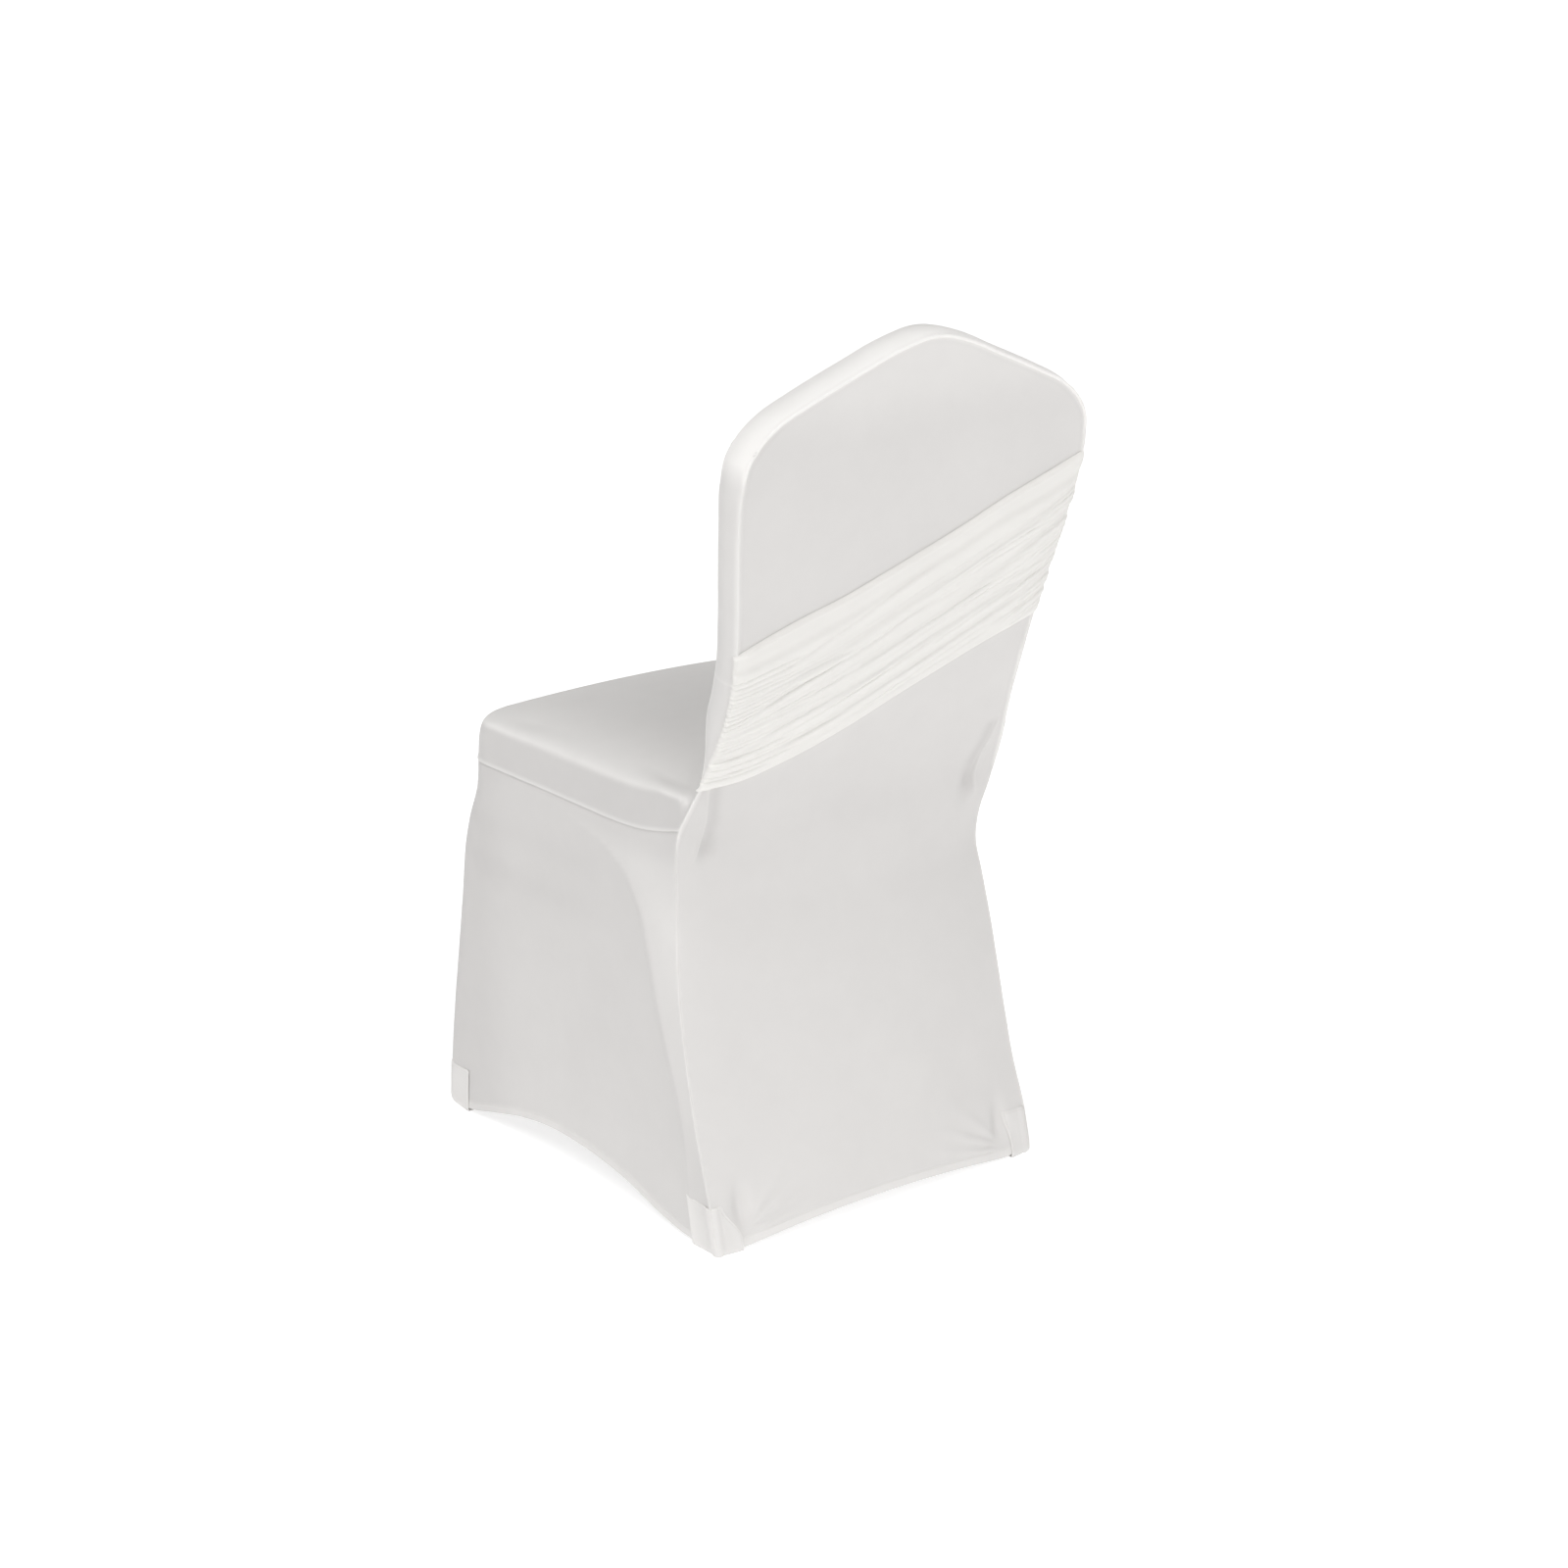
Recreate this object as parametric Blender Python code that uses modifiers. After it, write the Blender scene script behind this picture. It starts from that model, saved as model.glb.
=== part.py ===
"""Stretch cover for a banquet chair with a crown-shaped back and a ruched band across it.

The cover is sewn from sheets of white stretch knit and hangs here as a chair holds it. Each cut
piece is one closed sheet of its own, a seam's width from its neighbours. Metres, +Z up, the floor
at zero. The chair's front faces -Y, and its left side, as one sits in it, is towards +X.
"""

import bmesh
import bpy
import numpy as np

# The cloth
SHEET = 0.0020
SEAM_GAP = 0.0005
HEM_RISE = 0.0008
FLOOR_CLEAR = 0.0032

# The backrest
BACK_THICKNESS = 0.030
SHOULDER_EXTRA = 0.0045
SHOULDER_TAPER = 0.09
PADDED_THICKNESS = 0.043
PADDING_TOP_FADE = 0.10
WAIST_THICKNESS = 0.0085
WAIST_TAPER = 0.085
BOXING_BULGE = 0.0055
CROWN_BULGE = 0.0035
WAIST_TIP_HEIGHT = 0.487
SHOULDER_HEIGHT = 0.826
CROWN_LEAN = 0.15
CROWN_LEAN_FADE = 0.036
LEVEL_ROWS_TOP = 0.60
CROWN_LIFT_POWER = 1.5
CROWN_SAMPLES = 401
INNER_FOOT_DIP = 0.026
NARROWEST = 0.05

# The seat
SEAT_TOP = 0.4835
SEAT_CROWN_ACROSS = 0.0095
SEAT_CROWN_ALONG = 0.010
SEAT_EDGE_HEIGHT = 0.471
SEAT_ROLL = 0.045
SEAT_MIDDLE_Y = -0.035
SEAT_CORNER_INSET = 0.002
CREASE_DROP = 0.0012

# The skirt
LEG_FACE = 0.2095
SIDE_SAG = 0.0045
LEG_STEP = 0.0016
LEG_STEP_WIDTH = 0.014
HANGS_FREE_BELOW = 0.42
HANGS_FREE_FADE = 0.12
HEM_FADE = 0.14
BACK_ARCH = 0.0078
BACK_ARCH_SHARE = 0.80
FRONT_ARCH = 0.030
FRONT_ARCH_POWER = 1.4
CORNER_LIFT = 0.009
# Shares of the way round the skirt, from the rear seam to the middle of the front
SIDE_ENDS = 0.5
CORNER_ENDS = 0.625
FRONT_TOE_STARTS = 0.64
FRONT_ARCH_STARTS = 0.66

# The ruched band
BAND_CLEAR = 0.0013
BAND_FOLDS = 9
BAND_FOLD_DEPTH = 0.0026
BAND_END_INSET = 0.0010
BAND_FOLD_WANDER = 0.9
BAND_END_FLAT = 0.55

# The foot pockets
POCKET_LEVELS = (0.050, 0.034, 0.020, 0.011, 0.0045, 0.0012)
POCKET_OFF = SHEET + HEM_RISE + SEAM_GAP
POCKET_TUCK = 0.008
POCKET_TUCK_HEIGHT = 0.016
POCKET_CORNER_SPREAD = 0.62
REAR_POCKET_SIDE = 0.044
REAR_POCKET_BACK = 0.033
REAR_POCKET_BACK_SLANT = 0.017
REAR_POCKET_CORNER = 0.008
FRONT_POCKET_SIDE = 0.050
FRONT_POCKET_ACROSS = 0.040

# What the chair's frame presses into the lower back
POST_RIDGE_RISE = 0.0020
POST_RIDGE_WIDTH = 0.007
POST_RIDGE_X = 0.187
POST_RIDGE_SLANT = 0.20
POST_RIDGE_LOW = 0.395
POST_RIDGE_TOP = 0.480
POST_RIDGE_FADE = 0.025
PRESSED_EDGE_FADE = 0.010
# x, height, half width, half height, depth
POST_HOLLOW = (0.181, 0.408, 0.016, 0.020, 0.0060)
FOOT_DIMPLE = (0.166, 0.034, 0.012, 0.018, 0.0030)

CLOTH_WHITE = (0.86, 0.85, 0.84, 1)
BAND_WHITE = (0.92, 0.91, 0.88, 1)

# Side seam of the outer back, from the floor to the top of the crown
REAR_SEAM = (
    # height, half_width, y
    (0.000, 0.2110, 0.2170),
    (0.050, 0.2105, 0.2045),
    (0.100, 0.2090, 0.1870),
    (0.150, 0.2085, 0.1730),
    (0.200, 0.2075, 0.1610),
    (0.250, 0.2055, 0.1500),
    (0.300, 0.2010, 0.1400),
    (0.340, 0.1965, 0.1335),
    (0.370, 0.1985, 0.1360),
    (0.400, 0.2040, 0.1430),
    (0.434, 0.2070, 0.1530),
    (0.460, 0.2030, 0.1655),
    (0.480, 0.1985, 0.1745),
    (0.500, 0.1950, 0.1832),
    (0.520, 0.1915, 0.1920),
    (0.550, 0.1890, 0.2045),
    (0.600, 0.1900, 0.2205),
    (0.650, 0.1965, 0.2330),
    (0.700, 0.2050, 0.2450),
    (0.750, 0.2120, 0.2560),
    (0.790, 0.2145, 0.2645),
    (0.826, 0.2045, 0.2700),
    (0.868, 0.1450, 0.2755),
    (0.904, 0.0570, 0.2835),
    (0.918, 0.0100, 0.2880),
)

# Edge of the crown, from the shoulder to the middle
CROWN_EDGE = (
    # x, height
    (0.2045, 0.8260),
    (0.1980, 0.8345),
    (0.1810, 0.8490),
    (0.1450, 0.8670),
    (0.1200, 0.8778),
    (0.0780, 0.8950),
    (0.0570, 0.9040),
    (0.0300, 0.9130),
    (0.0120, 0.9172),
    (0.0000, 0.9180),
)

# How far the middle of the outer back stands behind its side seams
BACK_SWELL = (
    # height, swell
    (0.000, 0.0010),
    (0.100, 0.0065),
    (0.200, 0.0130),
    (0.300, 0.0190),
    (0.360, 0.0210),
    (0.420, 0.0150),
    (0.480, 0.0060),
    (0.550, 0.0040),
    (0.700, 0.0040),
    (0.800, 0.0030),
    (0.918, 0.0000),
)

# Front corner of the skirt, from the floor to the seat seam
FRONT_CORNER = (
    # height, half_width, depth, radius, bow
    (0.000, 0.2115, 0.2930, 0.0220, -0.0060),
    (0.050, 0.2120, 0.2890, 0.0230, -0.0050),
    (0.114, 0.2125, 0.2820, 0.0260, -0.0040),
    (0.187, 0.2125, 0.2725, 0.0300, -0.0030),
    (0.260, 0.2125, 0.2630, 0.0340, -0.0010),
    (0.320, 0.2125, 0.2562, 0.0380, 0.0020),
    (0.347, 0.2125, 0.2497, 0.0410, 0.0040),
    (0.385, 0.2125, 0.2356, 0.0440, 0.0070),
    (0.418, 0.2125, 0.2325, 0.0450, 0.0080),
    (0.440, 0.2125, 0.2325, 0.0450, 0.0080),
)

# Front edge of the rear leg, where it shows through the side of the skirt
LEG_LINE = (
    # height, y
    (0.000, 0.172),
    (0.050, 0.167),
    (0.103, 0.160),
    (0.155, 0.147),
    (0.197, 0.131),
    (0.242, 0.115),
    (0.297, 0.099),
    (0.347, 0.078),
    (0.375, 0.048),
    (0.391, 0.011),
    (0.402, -0.040),
    (0.440, -0.100),
)

# Height of the seat seam along the side, from the rear corner to the front corner
SEAT_SEAM = (
    # share of the way, height
    (0.00, 0.4340),
    (0.07, 0.4270),
    (0.18, 0.4225),
    (0.35, 0.4205),
    (0.70, 0.4190),
    (1.00, 0.4180),
)

# The skirt's hem along the side, from the front foot to the rear foot
SIDE_HEM = (
    # y, height
    (-0.2900, 0.0122),
    (-0.2700, 0.0085),
    (-0.2520, 0.0046),
    (-0.2360, 0.0050),
    (-0.1985, 0.0130),
    (-0.1400, 0.0285),
    (-0.0840, 0.0355),
    (-0.0280, 0.0350),
    (0.0510, 0.0260),
    (0.1290, 0.0080),
    (0.1650, 0.0042),
    (0.1900, 0.0070),
    (0.2170, 0.0122),
)

# Rear rim of the seat panel on the left, from the waist tip down the ear to the seat seam
EAR_EDGE = (
    # height, inset from the side seam, distance before the outer back, roll over the seat's edge
    (0.4835, 0.0045, 0.0075, 0.00),
    (0.4795, 0.0005, 0.0040, 0.05),
    (0.4650, 0.0000, 0.0038, 0.35),
    (0.4490, 0.0000, 0.0036, 0.75),
)

# Long edges of the ruched band
BAND_EDGES = (
    # x, top height, bottom height
    (-0.2130, 0.7760, 0.6134),
    (-0.1700, 0.7605, 0.5988),
    (-0.1160, 0.7412, 0.5815),
    (-0.0670, 0.7204, 0.5629),
    (-0.0180, 0.7015, 0.5428),
    (0.0300, 0.6833, 0.5205),
    (0.0750, 0.6666, 0.5025),
    (0.1110, 0.6558, 0.4910),
    (0.1480, 0.6433, 0.4817),
    (0.1930, 0.6251, 0.4790),
)


def column(table, index):
    """One column of a table."""
    return np.array([row[index] for row in table], float)


def smooth(at, xs, ys):
    """A curve through points: on each stretch, the cubic with the mean slopes at its ends."""
    at = np.clip(np.asarray(at, float), xs[0], xs[-1])
    slope = np.gradient(ys, xs)
    i = np.clip(np.searchsorted(xs, at, side="right") - 1, 0, len(xs) - 2)
    width = xs[i + 1] - xs[i]
    t = (at - xs[i]) / width
    low = (1 + 2 * t) * (1 - t) ** 2 * ys[i] + t * (1 - t) ** 2 * width * slope[i]
    high = t * t * (3 - 2 * t) * ys[i + 1] - t * t * (1 - t) * width * slope[i + 1]
    return low + high


def through(points, count):
    """A smooth curve through points in space, with count points spread along it evenly."""
    points = np.asarray(points, float)
    steps = np.linalg.norm(np.diff(points, axis=0), axis=1)
    along = np.concatenate([[0], np.cumsum(steps)])
    at = np.linspace(0, along[-1], count)
    return np.stack([smooth(at, along, points[:, k]) for k in range(points.shape[1])], axis=1)


def ease(t):
    """A soft step from 0 to 1."""
    t = np.clip(t, 0, 1)
    return t * t * (3 - 2 * t)


def by_height(table, index, z):
    """A column of a table, read at the place z of its first column, most often a height."""
    return smooth(z, column(table, 0), column(table, index))


def hollow(x, z, spot):
    """Depth of a soft round hollow on each side of the back."""
    side, height, wide, tall, depth = spot
    return depth * np.exp(-(((np.abs(x) - side) / wide) ** 2) - ((z - height) / tall) ** 2)


def outer_back(x, z):
    """y of the outer back: its side seam's y, and a swell that falls off to the seams.

    On each side the backrest's post makes a soft ridge below the waist, with a hollow beside it,
    and the foot makes a dimple at the floor.
    """
    width = np.maximum(by_height(REAR_SEAM, 1, z), NARROWEST)
    share = np.clip(np.abs(x) / width, 0, 1)
    y = by_height(REAR_SEAM, 2, z) + by_height(BACK_SWELL, 1, z) * (1 - share**2)
    below = np.clip(POST_RIDGE_TOP - z, 0, POST_RIDGE_TOP - POST_RIDGE_LOW)
    off = np.abs(x) - POST_RIDGE_X - POST_RIDGE_SLANT * below
    runs = ease((z - POST_RIDGE_LOW) / POST_RIDGE_FADE)
    runs = runs * ease((POST_RIDGE_TOP - z) / POST_RIDGE_FADE)
    relief = POST_RIDGE_RISE * runs * np.exp(-((off / POST_RIDGE_WIDTH) ** 2))
    relief = relief - hollow(x, z, POST_HOLLOW) - hollow(x, z, FOOT_DIMPLE)
    return y + relief * ease((width - np.abs(x)) / PRESSED_EDGE_FADE)


def back_grid(heights, shares, foot=None):
    """The outer back as rows of points from side to side.

    Rows are level below the shoulders. Above them they take on the shape of the crown, which the
    last row follows, so the shoulder is a corner of the grid. foot gives a row of heights for the
    lowest row, and it fades out upwards.
    """
    whole = np.concatenate([CROWN_EDGE, np.array(CROWN_EDGE[:-1])[::-1] * (-1, 1)])
    crown = through(whole, CROWN_SAMPLES)
    way = np.linspace(1, -1, len(crown))
    crown_x = np.interp(-shares, -way, crown[:, 0])
    crown_z = np.interp(-shares, -way, crown[:, 1])
    z_side = np.asarray(heights, float)[:, None]
    lift = ease((z_side - LEVEL_ROWS_TOP) / (SHOULDER_HEIGHT - LEVEL_ROWS_TOP))
    width = by_height(REAR_SEAM, 1, z_side)
    x = width * shares * (1 - lift) + width / crown[0, 0] * crown_x * lift
    z = z_side + lift**CROWN_LIFT_POWER * (crown_z - SHOULDER_HEIGHT)
    if foot is not None:
        z = z + (foot - heights[0]) * (1 - ease((z_side - heights[0]) / HEM_FADE))
    return np.stack([x, outer_back(x, z), z], axis=-1)


def forwards(z):
    """Unit vectors out of the backrest's plane, towards the sitter."""
    step = 0.004
    slope = (by_height(REAR_SEAM, 2, z + step) - by_height(REAR_SEAM, 2, z - step)) / (2 * step)
    crown = ease((z - SHOULDER_HEIGHT + CROWN_LEAN_FADE) / CROWN_LEAN_FADE)
    slope = slope + (CROWN_LEAN - slope) * crown
    length = np.sqrt(1 + slope**2)
    return np.stack([0 * slope, -1 / length, slope / length], axis=-1)


def edge_thickness(z):
    """Thickness of the backrest along its edge, which runs out to little at the waist."""
    full = ease((z - WAIST_TIP_HEIGHT) / WAIST_TAPER)
    shoulder = SHOULDER_EXTRA * ease((z - SHOULDER_HEIGHT + SHOULDER_TAPER) / SHOULDER_TAPER)
    return WAIST_THICKNESS + (BACK_THICKNESS - WAIST_THICKNESS) * full + shoulder


def inner_back_grid(heights, shares):
    """The front face of the backrest: the outer back moved forwards by the padding."""
    heights = np.asarray(heights, float)
    dip = -INNER_FOOT_DIP * (1 - np.abs(shares) ** 5)
    outer = back_grid(heights, shares, foot=heights[0] + dip)
    side = heights[:, None]
    edge = edge_thickness(side)
    outer[..., 1] = by_height(REAR_SEAM, 2, outer[..., 2])
    top = ease((SHOULDER_HEIGHT - side) / PADDING_TOP_FADE)
    pad = (PADDED_THICKNESS - edge) * (1 - np.abs(shares) ** 3) * top
    return outer + forwards(outer[..., 2]) * (edge + pad)[..., None]


def skirt_section(way, z):
    """x and y of the skirt on the left at a height: way is 0 at the rear seam, 1 at the front.

    The first half of the way runs along the side, over the rear leg and then free to the front
    leg. The next eighth turns the corner, and the rest crosses half of the front.
    """
    rear_x = by_height(REAR_SEAM, 1, z)
    rear_y = by_height(REAR_SEAM, 2, z) - SHEET - 2 * SEAM_GAP
    wide, deep, radius, bow = (by_height(FRONT_CORNER, k, z) for k in (1, 2, 3, 4))
    leg_y = np.minimum(by_height(LEG_LINE, 1, z), rear_y - 0.02)
    side_end = radius - deep
    y_side = rear_y + (side_end - rear_y) * np.clip(way / SIDE_ENDS, 0, 1)
    on_leg = np.clip((rear_y - y_side) / (rear_y - leg_y), 0, 1)
    free = np.clip((leg_y - y_side) / np.maximum(leg_y - side_end, 0.05), 0, 1)
    x_side = rear_x + (LEG_FACE - rear_x) * np.sin(on_leg * np.pi / 2) + (wide - LEG_FACE) * free
    low = ease((HANGS_FREE_BELOW - z) / HANGS_FREE_FADE)
    x_side = x_side - low * SIDE_SAG * 4 * free * (1 - free)
    step = ease((leg_y - y_side) / LEG_STEP_WIDTH) * (1 - free) ** 2
    x_side = x_side - low * LEG_STEP * step
    turn = np.clip((way - SIDE_ENDS) / (CORNER_ENDS - SIDE_ENDS), 0, 1) * np.pi / 2
    x_turn = wide - radius + radius * np.cos(turn)
    y_turn = side_end - radius * np.sin(turn)
    across = np.clip((way - CORNER_ENDS) / (1 - CORNER_ENDS), 0, 1)
    x_front = (wide - radius) * (1 - across)
    y_front = -deep - bow * (1 - (1 - across) ** 2)
    x = np.where(way < SIDE_ENDS, x_side, np.where(way < CORNER_ENDS, x_turn, x_front))
    y = np.where(way < SIDE_ENDS, y_side, np.where(way < CORNER_ENDS, y_turn, y_front))
    return x, y


def seam_height(way):
    """Height of the seat seam, along the side and then level across the front."""
    return by_height(SEAT_SEAM, 1, np.clip(way / SIDE_ENDS, 0, 1))


def seat_seam(way):
    """The seat seam in space."""
    z = seam_height(way)
    x, y = skirt_section(way, z)
    return np.stack([x, y, z], axis=-1)


def hem_height(way):
    """Height of the skirt's hem: arched on the side and the front, lifted over the toes."""
    _, y = skirt_section(way, np.zeros_like(way))
    side = by_height(SIDE_HEM, 1, y)
    toe = SIDE_HEM[0][1] - CORNER_LIFT * ease((way - FRONT_TOE_STARTS) / 0.10)
    across = np.clip((way - FRONT_ARCH_STARTS) / (1 - FRONT_ARCH_STARTS), 0, 1)
    front = toe + FRONT_ARCH * np.sin(across * np.pi / 2) ** FRONT_ARCH_POWER
    return np.where(way < SIDE_ENDS, side, front)


def mirrored(half):
    """A run of points on the left and its mirror image, from left to right."""
    other = half[::-1].copy()
    other[..., 0] = -other[..., 0]
    return np.concatenate([half, other[1:]])


def remove_scene_objects():
    for item in list(bpy.data.objects):
        bpy.data.objects.remove(item, do_unlink=True)


def cloth_material(name, colour):
    material = bpy.data.materials.new(name)
    material.use_nodes = True
    shader = material.node_tree.nodes["Principled BSDF"]
    shader.inputs["Base Color"].default_value = colour
    shader.inputs["Roughness"].default_value = 0.75
    shader.inputs["Metallic"].default_value = 0.0
    return material


def sheet(name, grid, collection, colour=CLOTH_WHITE, middle=None):
    """A cloth sheet: a smooth surface on a grid of points, with its thickness put on inside.

    The grid's rows run from left to right as seen from outside, and follow each other upwards.
    With a middle point the rows are rings, and the last one is filled in towards that point.
    """
    rows, count = grid.shape[:2]
    mesh = bpy.data.meshes.new(name)
    work = bmesh.new()
    corners = [work.verts.new(point) for point in grid.reshape(-1, 3)]
    runs = count - 1 if middle is None else count
    for row in range(rows - 1):
        for k in range(runs):
            low = row * count + k
            side = row * count + (k + 1) % count
            work.faces.new([corners[i] for i in (low, side, side + count, low + count)])
    if middle is not None:
        hub = work.verts.new(middle)
        ring = corners[-count:]
        for k in range(count):
            work.faces.new([ring[k], ring[(k + 1) % count], hub])
    work.to_mesh(mesh)
    work.free()
    mesh.shade_smooth()
    mesh.materials.append(cloth_material(name, colour))
    piece = bpy.data.objects.new(name, mesh)
    collection.objects.link(piece)
    wall = piece.modifiers.new("thickness", "SOLIDIFY")
    wall.thickness = SHEET
    wall.offset = -1


def mirror_shares(half):
    """Shares of the half width from 1 on the left to -1 on the right."""
    half = np.asarray(half, float)
    return np.concatenate([half, -half[::-1][1:]])


BACK_SHARES = mirror_shares((1, 0.97, 0.92, 0.84, 0.72, 0.56, 0.38, 0.21, 0.09, 0))
INNER_SHARES = mirror_shares((1, 0.93, 0.84, 0.70, 0.52, 0.32, 0.12, 0))
LOW_HEIGHTS = (0.0032, 0.0132, 0.034, 0.06, 0.10, 0.15, 0.20, 0.25, 0.295, 0.325, 0.35, 0.375)
WAIST_HEIGHTS = (0.395, 0.415, 0.436, 0.460)
UPPER_HEIGHTS = (0.487, 0.51, 0.535, 0.565, 0.605, 0.65, 0.70, 0.745, 0.78, 0.806, 0.826)


def make_back_panel(collection):
    """The outer back, in one piece from the hem between the rear feet to the crown."""
    heights = np.array(LOW_HEIGHTS + WAIST_HEIGHTS + UPPER_HEIGHTS)
    shares = BACK_SHARES
    arch = BACK_ARCH * np.clip(1 - (shares / BACK_ARCH_SHARE) ** 2, 0, 1)
    toes = CORNER_LIFT * ease((np.abs(shares) - 0.84) / 0.16)
    grid = back_grid(heights, shares, foot=FLOOR_CLEAR + arch + toes)
    grid[:2, :, 1] += HEM_RISE * ease((0.80 - np.abs(shares)) / 0.10)
    sheet("back_panel", grid, collection)


def make_inner_back_panel(collection):
    """The front face of the backrest, from the seat to the crown."""
    grid = inner_back_grid(UPPER_HEIGHTS, INNER_SHARES)
    sheet("inner_back_panel", grid[:, ::-1], collection)


def make_back_boxing(collection):
    """The strip round the backrest's edge, from the waist over the crown to the waist."""
    grid = back_grid(UPPER_HEIGHTS, BACK_SHARES)
    edge = np.concatenate([grid[:, 0], grid[-1, 1:-1], grid[::-1, -1]])
    ahead = forwards(edge[:, 2])
    along = np.gradient(edge, axis=0)
    out = np.cross(along, ahead)
    out /= np.linalg.norm(out, axis=1)[:, None]
    outwards = np.sign((out * (edge - edge.mean(axis=0))).sum(axis=1))
    out *= outwards[:, None]
    first = SHEET + SEAM_GAP
    deep = edge_thickness(np.minimum(edge[:, 2], SHOULDER_HEIGHT))
    crown = ease((edge[:, 2] - SHOULDER_HEIGHT + CROWN_LEAN_FADE) / CROWN_LEAN_FADE)
    full = BOXING_BULGE + (CROWN_BULGE - BOXING_BULGE) * crown
    bulge = full * np.minimum(1, (deep - 2 * first) / (BACK_THICKNESS - 2 * first))
    rows = []
    for share in (0, 0.2, 0.5, 0.8, 1):
        depth = first + (deep - 2 * first) * share
        rise = bulge * 4 * share * (1 - share)
        rows.append(edge + ahead * depth[:, None] + out * rise[:, None])
    sheet("back_boxing", np.array(rows), collection)


def seat_rim():
    """The seat panel's rim all round, with how far the cloth rolls over the seat's edge there."""
    side = np.linspace(0, SIDE_ENDS, 9)[:-1]
    corner = np.linspace(SIDE_ENDS, CORNER_ENDS, 5)[:-1]
    ways = np.concatenate([side, corner, np.linspace(CORNER_ENDS, 1, 6)])
    seam = seat_seam(ways)
    roll = np.ones_like(ways)
    z, inset, before, ear = (column(EAR_EDGE, k) for k in range(4))
    ear_x = by_height(REAR_SEAM, 1, z) - inset
    ear_y = by_height(REAR_SEAM, 2, z) - before
    ear_points = np.stack([ear_x, ear_y, z], axis=1)
    shares = np.array([0, 0.22, 0.45, 0.66, 0.82])
    crease = inner_back_grid(UPPER_HEIGHTS, shares)[0]
    crease[:, 1] += 0.7 * SHEET
    crease[:, 2] -= CREASE_DROP
    left = np.concatenate([crease, ear_points, seam])
    left_roll = np.concatenate([0 * shares, ear, roll])
    right = left[1:-1][::-1] * np.array([-1, 1, 1])
    return np.concatenate([left, right]), np.concatenate([left_roll, left_roll[1:-1][::-1]])


def seat_height(x, y):
    """Height of the seat's crowned top."""
    across = SEAT_CROWN_ACROSS * (x / 0.21) ** 2
    return SEAT_TOP - across - SEAT_CROWN_ALONG * ((y - SEAT_MIDDLE_Y) / 0.20) ** 2


def make_seat_panel(collection):
    """The seat's top in rings, from a middle point out to the edge and down to the seam."""
    rim, roll = seat_rim()
    middle = np.array([0, SEAT_MIDDLE_Y, SEAT_TOP])
    out = rim - middle
    reach = np.linalg.norm(out[:, :2], axis=1)[:, None]
    inner = middle + out * (1 - SEAT_ROLL / reach)
    inner[:, 2] = seat_height(inner[:, 0], inner[:, 1])
    edge = middle + out * (1 - SEAT_CORNER_INSET / reach)
    edge[:, 2] = SEAT_EDGE_HEIGHT
    mid = (inner + rim) / 2
    bend = mid + (edge - mid) * roll[:, None]
    rings = [rim]
    for t in (0.16, 0.34, 0.52, 0.74, 1.0):
        rings.append((1 - t) ** 2 * rim + 2 * t * (1 - t) * bend + t * t * inner)
    for share in (0.72, 0.44, 0.20):
        ring = middle + (inner - middle) * share
        ring[:, 2] = seat_height(ring[:, 0], ring[:, 1])
        rings.append(ring)
    sheet("seat_panel", np.array(rings)[:, ::-1], collection, middle=middle)


def make_skirt(collection):
    """The wrap round the sides and the front, from the seat seam down to the arched hem."""
    side = np.linspace(0, SIDE_ENDS, 15)[:-1]
    corner = np.linspace(SIDE_ENDS, CORNER_ENDS, 6)[:-1]
    ways = np.concatenate([side, corner, np.linspace(CORNER_ENDS, 1, 8)])
    top = seam_height(ways) - 1.4 * SEAM_GAP
    hem = hem_height(ways)
    levels = (0, 0.028, 0.08, 0.16, 0.27, 0.40, 0.54, 0.67, 0.76, 0.84, 0.91, 0.96, 1)
    rows = []
    for level in levels:
        z = hem + (top - hem) * level
        x, y = skirt_section(ways, z)
        rows.append(mirrored(np.stack([x, y, z], axis=-1)))
    grid = np.array(rows)
    sheet("skirt", grid[:, ::-1], collection)


def make_band(collection):
    """The gathered band: lengthwise folds over the outer back, drawn flatter at its ends."""
    xs = column(BAND_EDGES, 0)
    reach = np.linspace(-1, 1, 15)
    steps = np.linspace(0, 1, BAND_FOLDS * 4 + 1)
    rows = []
    for share in steps:
        x = reach * 0.20
        for _ in range(6):
            high = smooth(x, xs, column(BAND_EDGES, 1))
            low = smooth(x, xs, column(BAND_EDGES, 2))
            z = low + (high - low) * share
            x = reach * (by_height(REAR_SEAM, 1, z) - BAND_END_INSET)
        wander = BAND_FOLD_WANDER * np.sin(2.2 * reach)
        fold = 0.5 - 0.5 * np.cos(share * BAND_FOLDS * 2 * np.pi + wander)
        fold = fold * (1 - BAND_END_FLAT * np.abs(reach) ** 6)
        y = outer_back(x, z) + SHEET + BAND_CLEAR + BAND_FOLD_DEPTH * fold
        rows.append(np.stack([x, y, z], axis=-1))
    grid = np.array(rows)
    sheet("ruched_band", grid[:, ::-1], collection, BAND_WHITE)


def pocket_grow(z, ends):
    """How far a pocket stands off the cloth: drawn in near the floor, most where ends is 0."""
    down = np.clip(1 - z / POCKET_TUCK_HEIGHT, 0, 1)
    return POCKET_OFF - POCKET_TUCK * (1 - np.sqrt(1 - down**2)) * (1 - ends)


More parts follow.
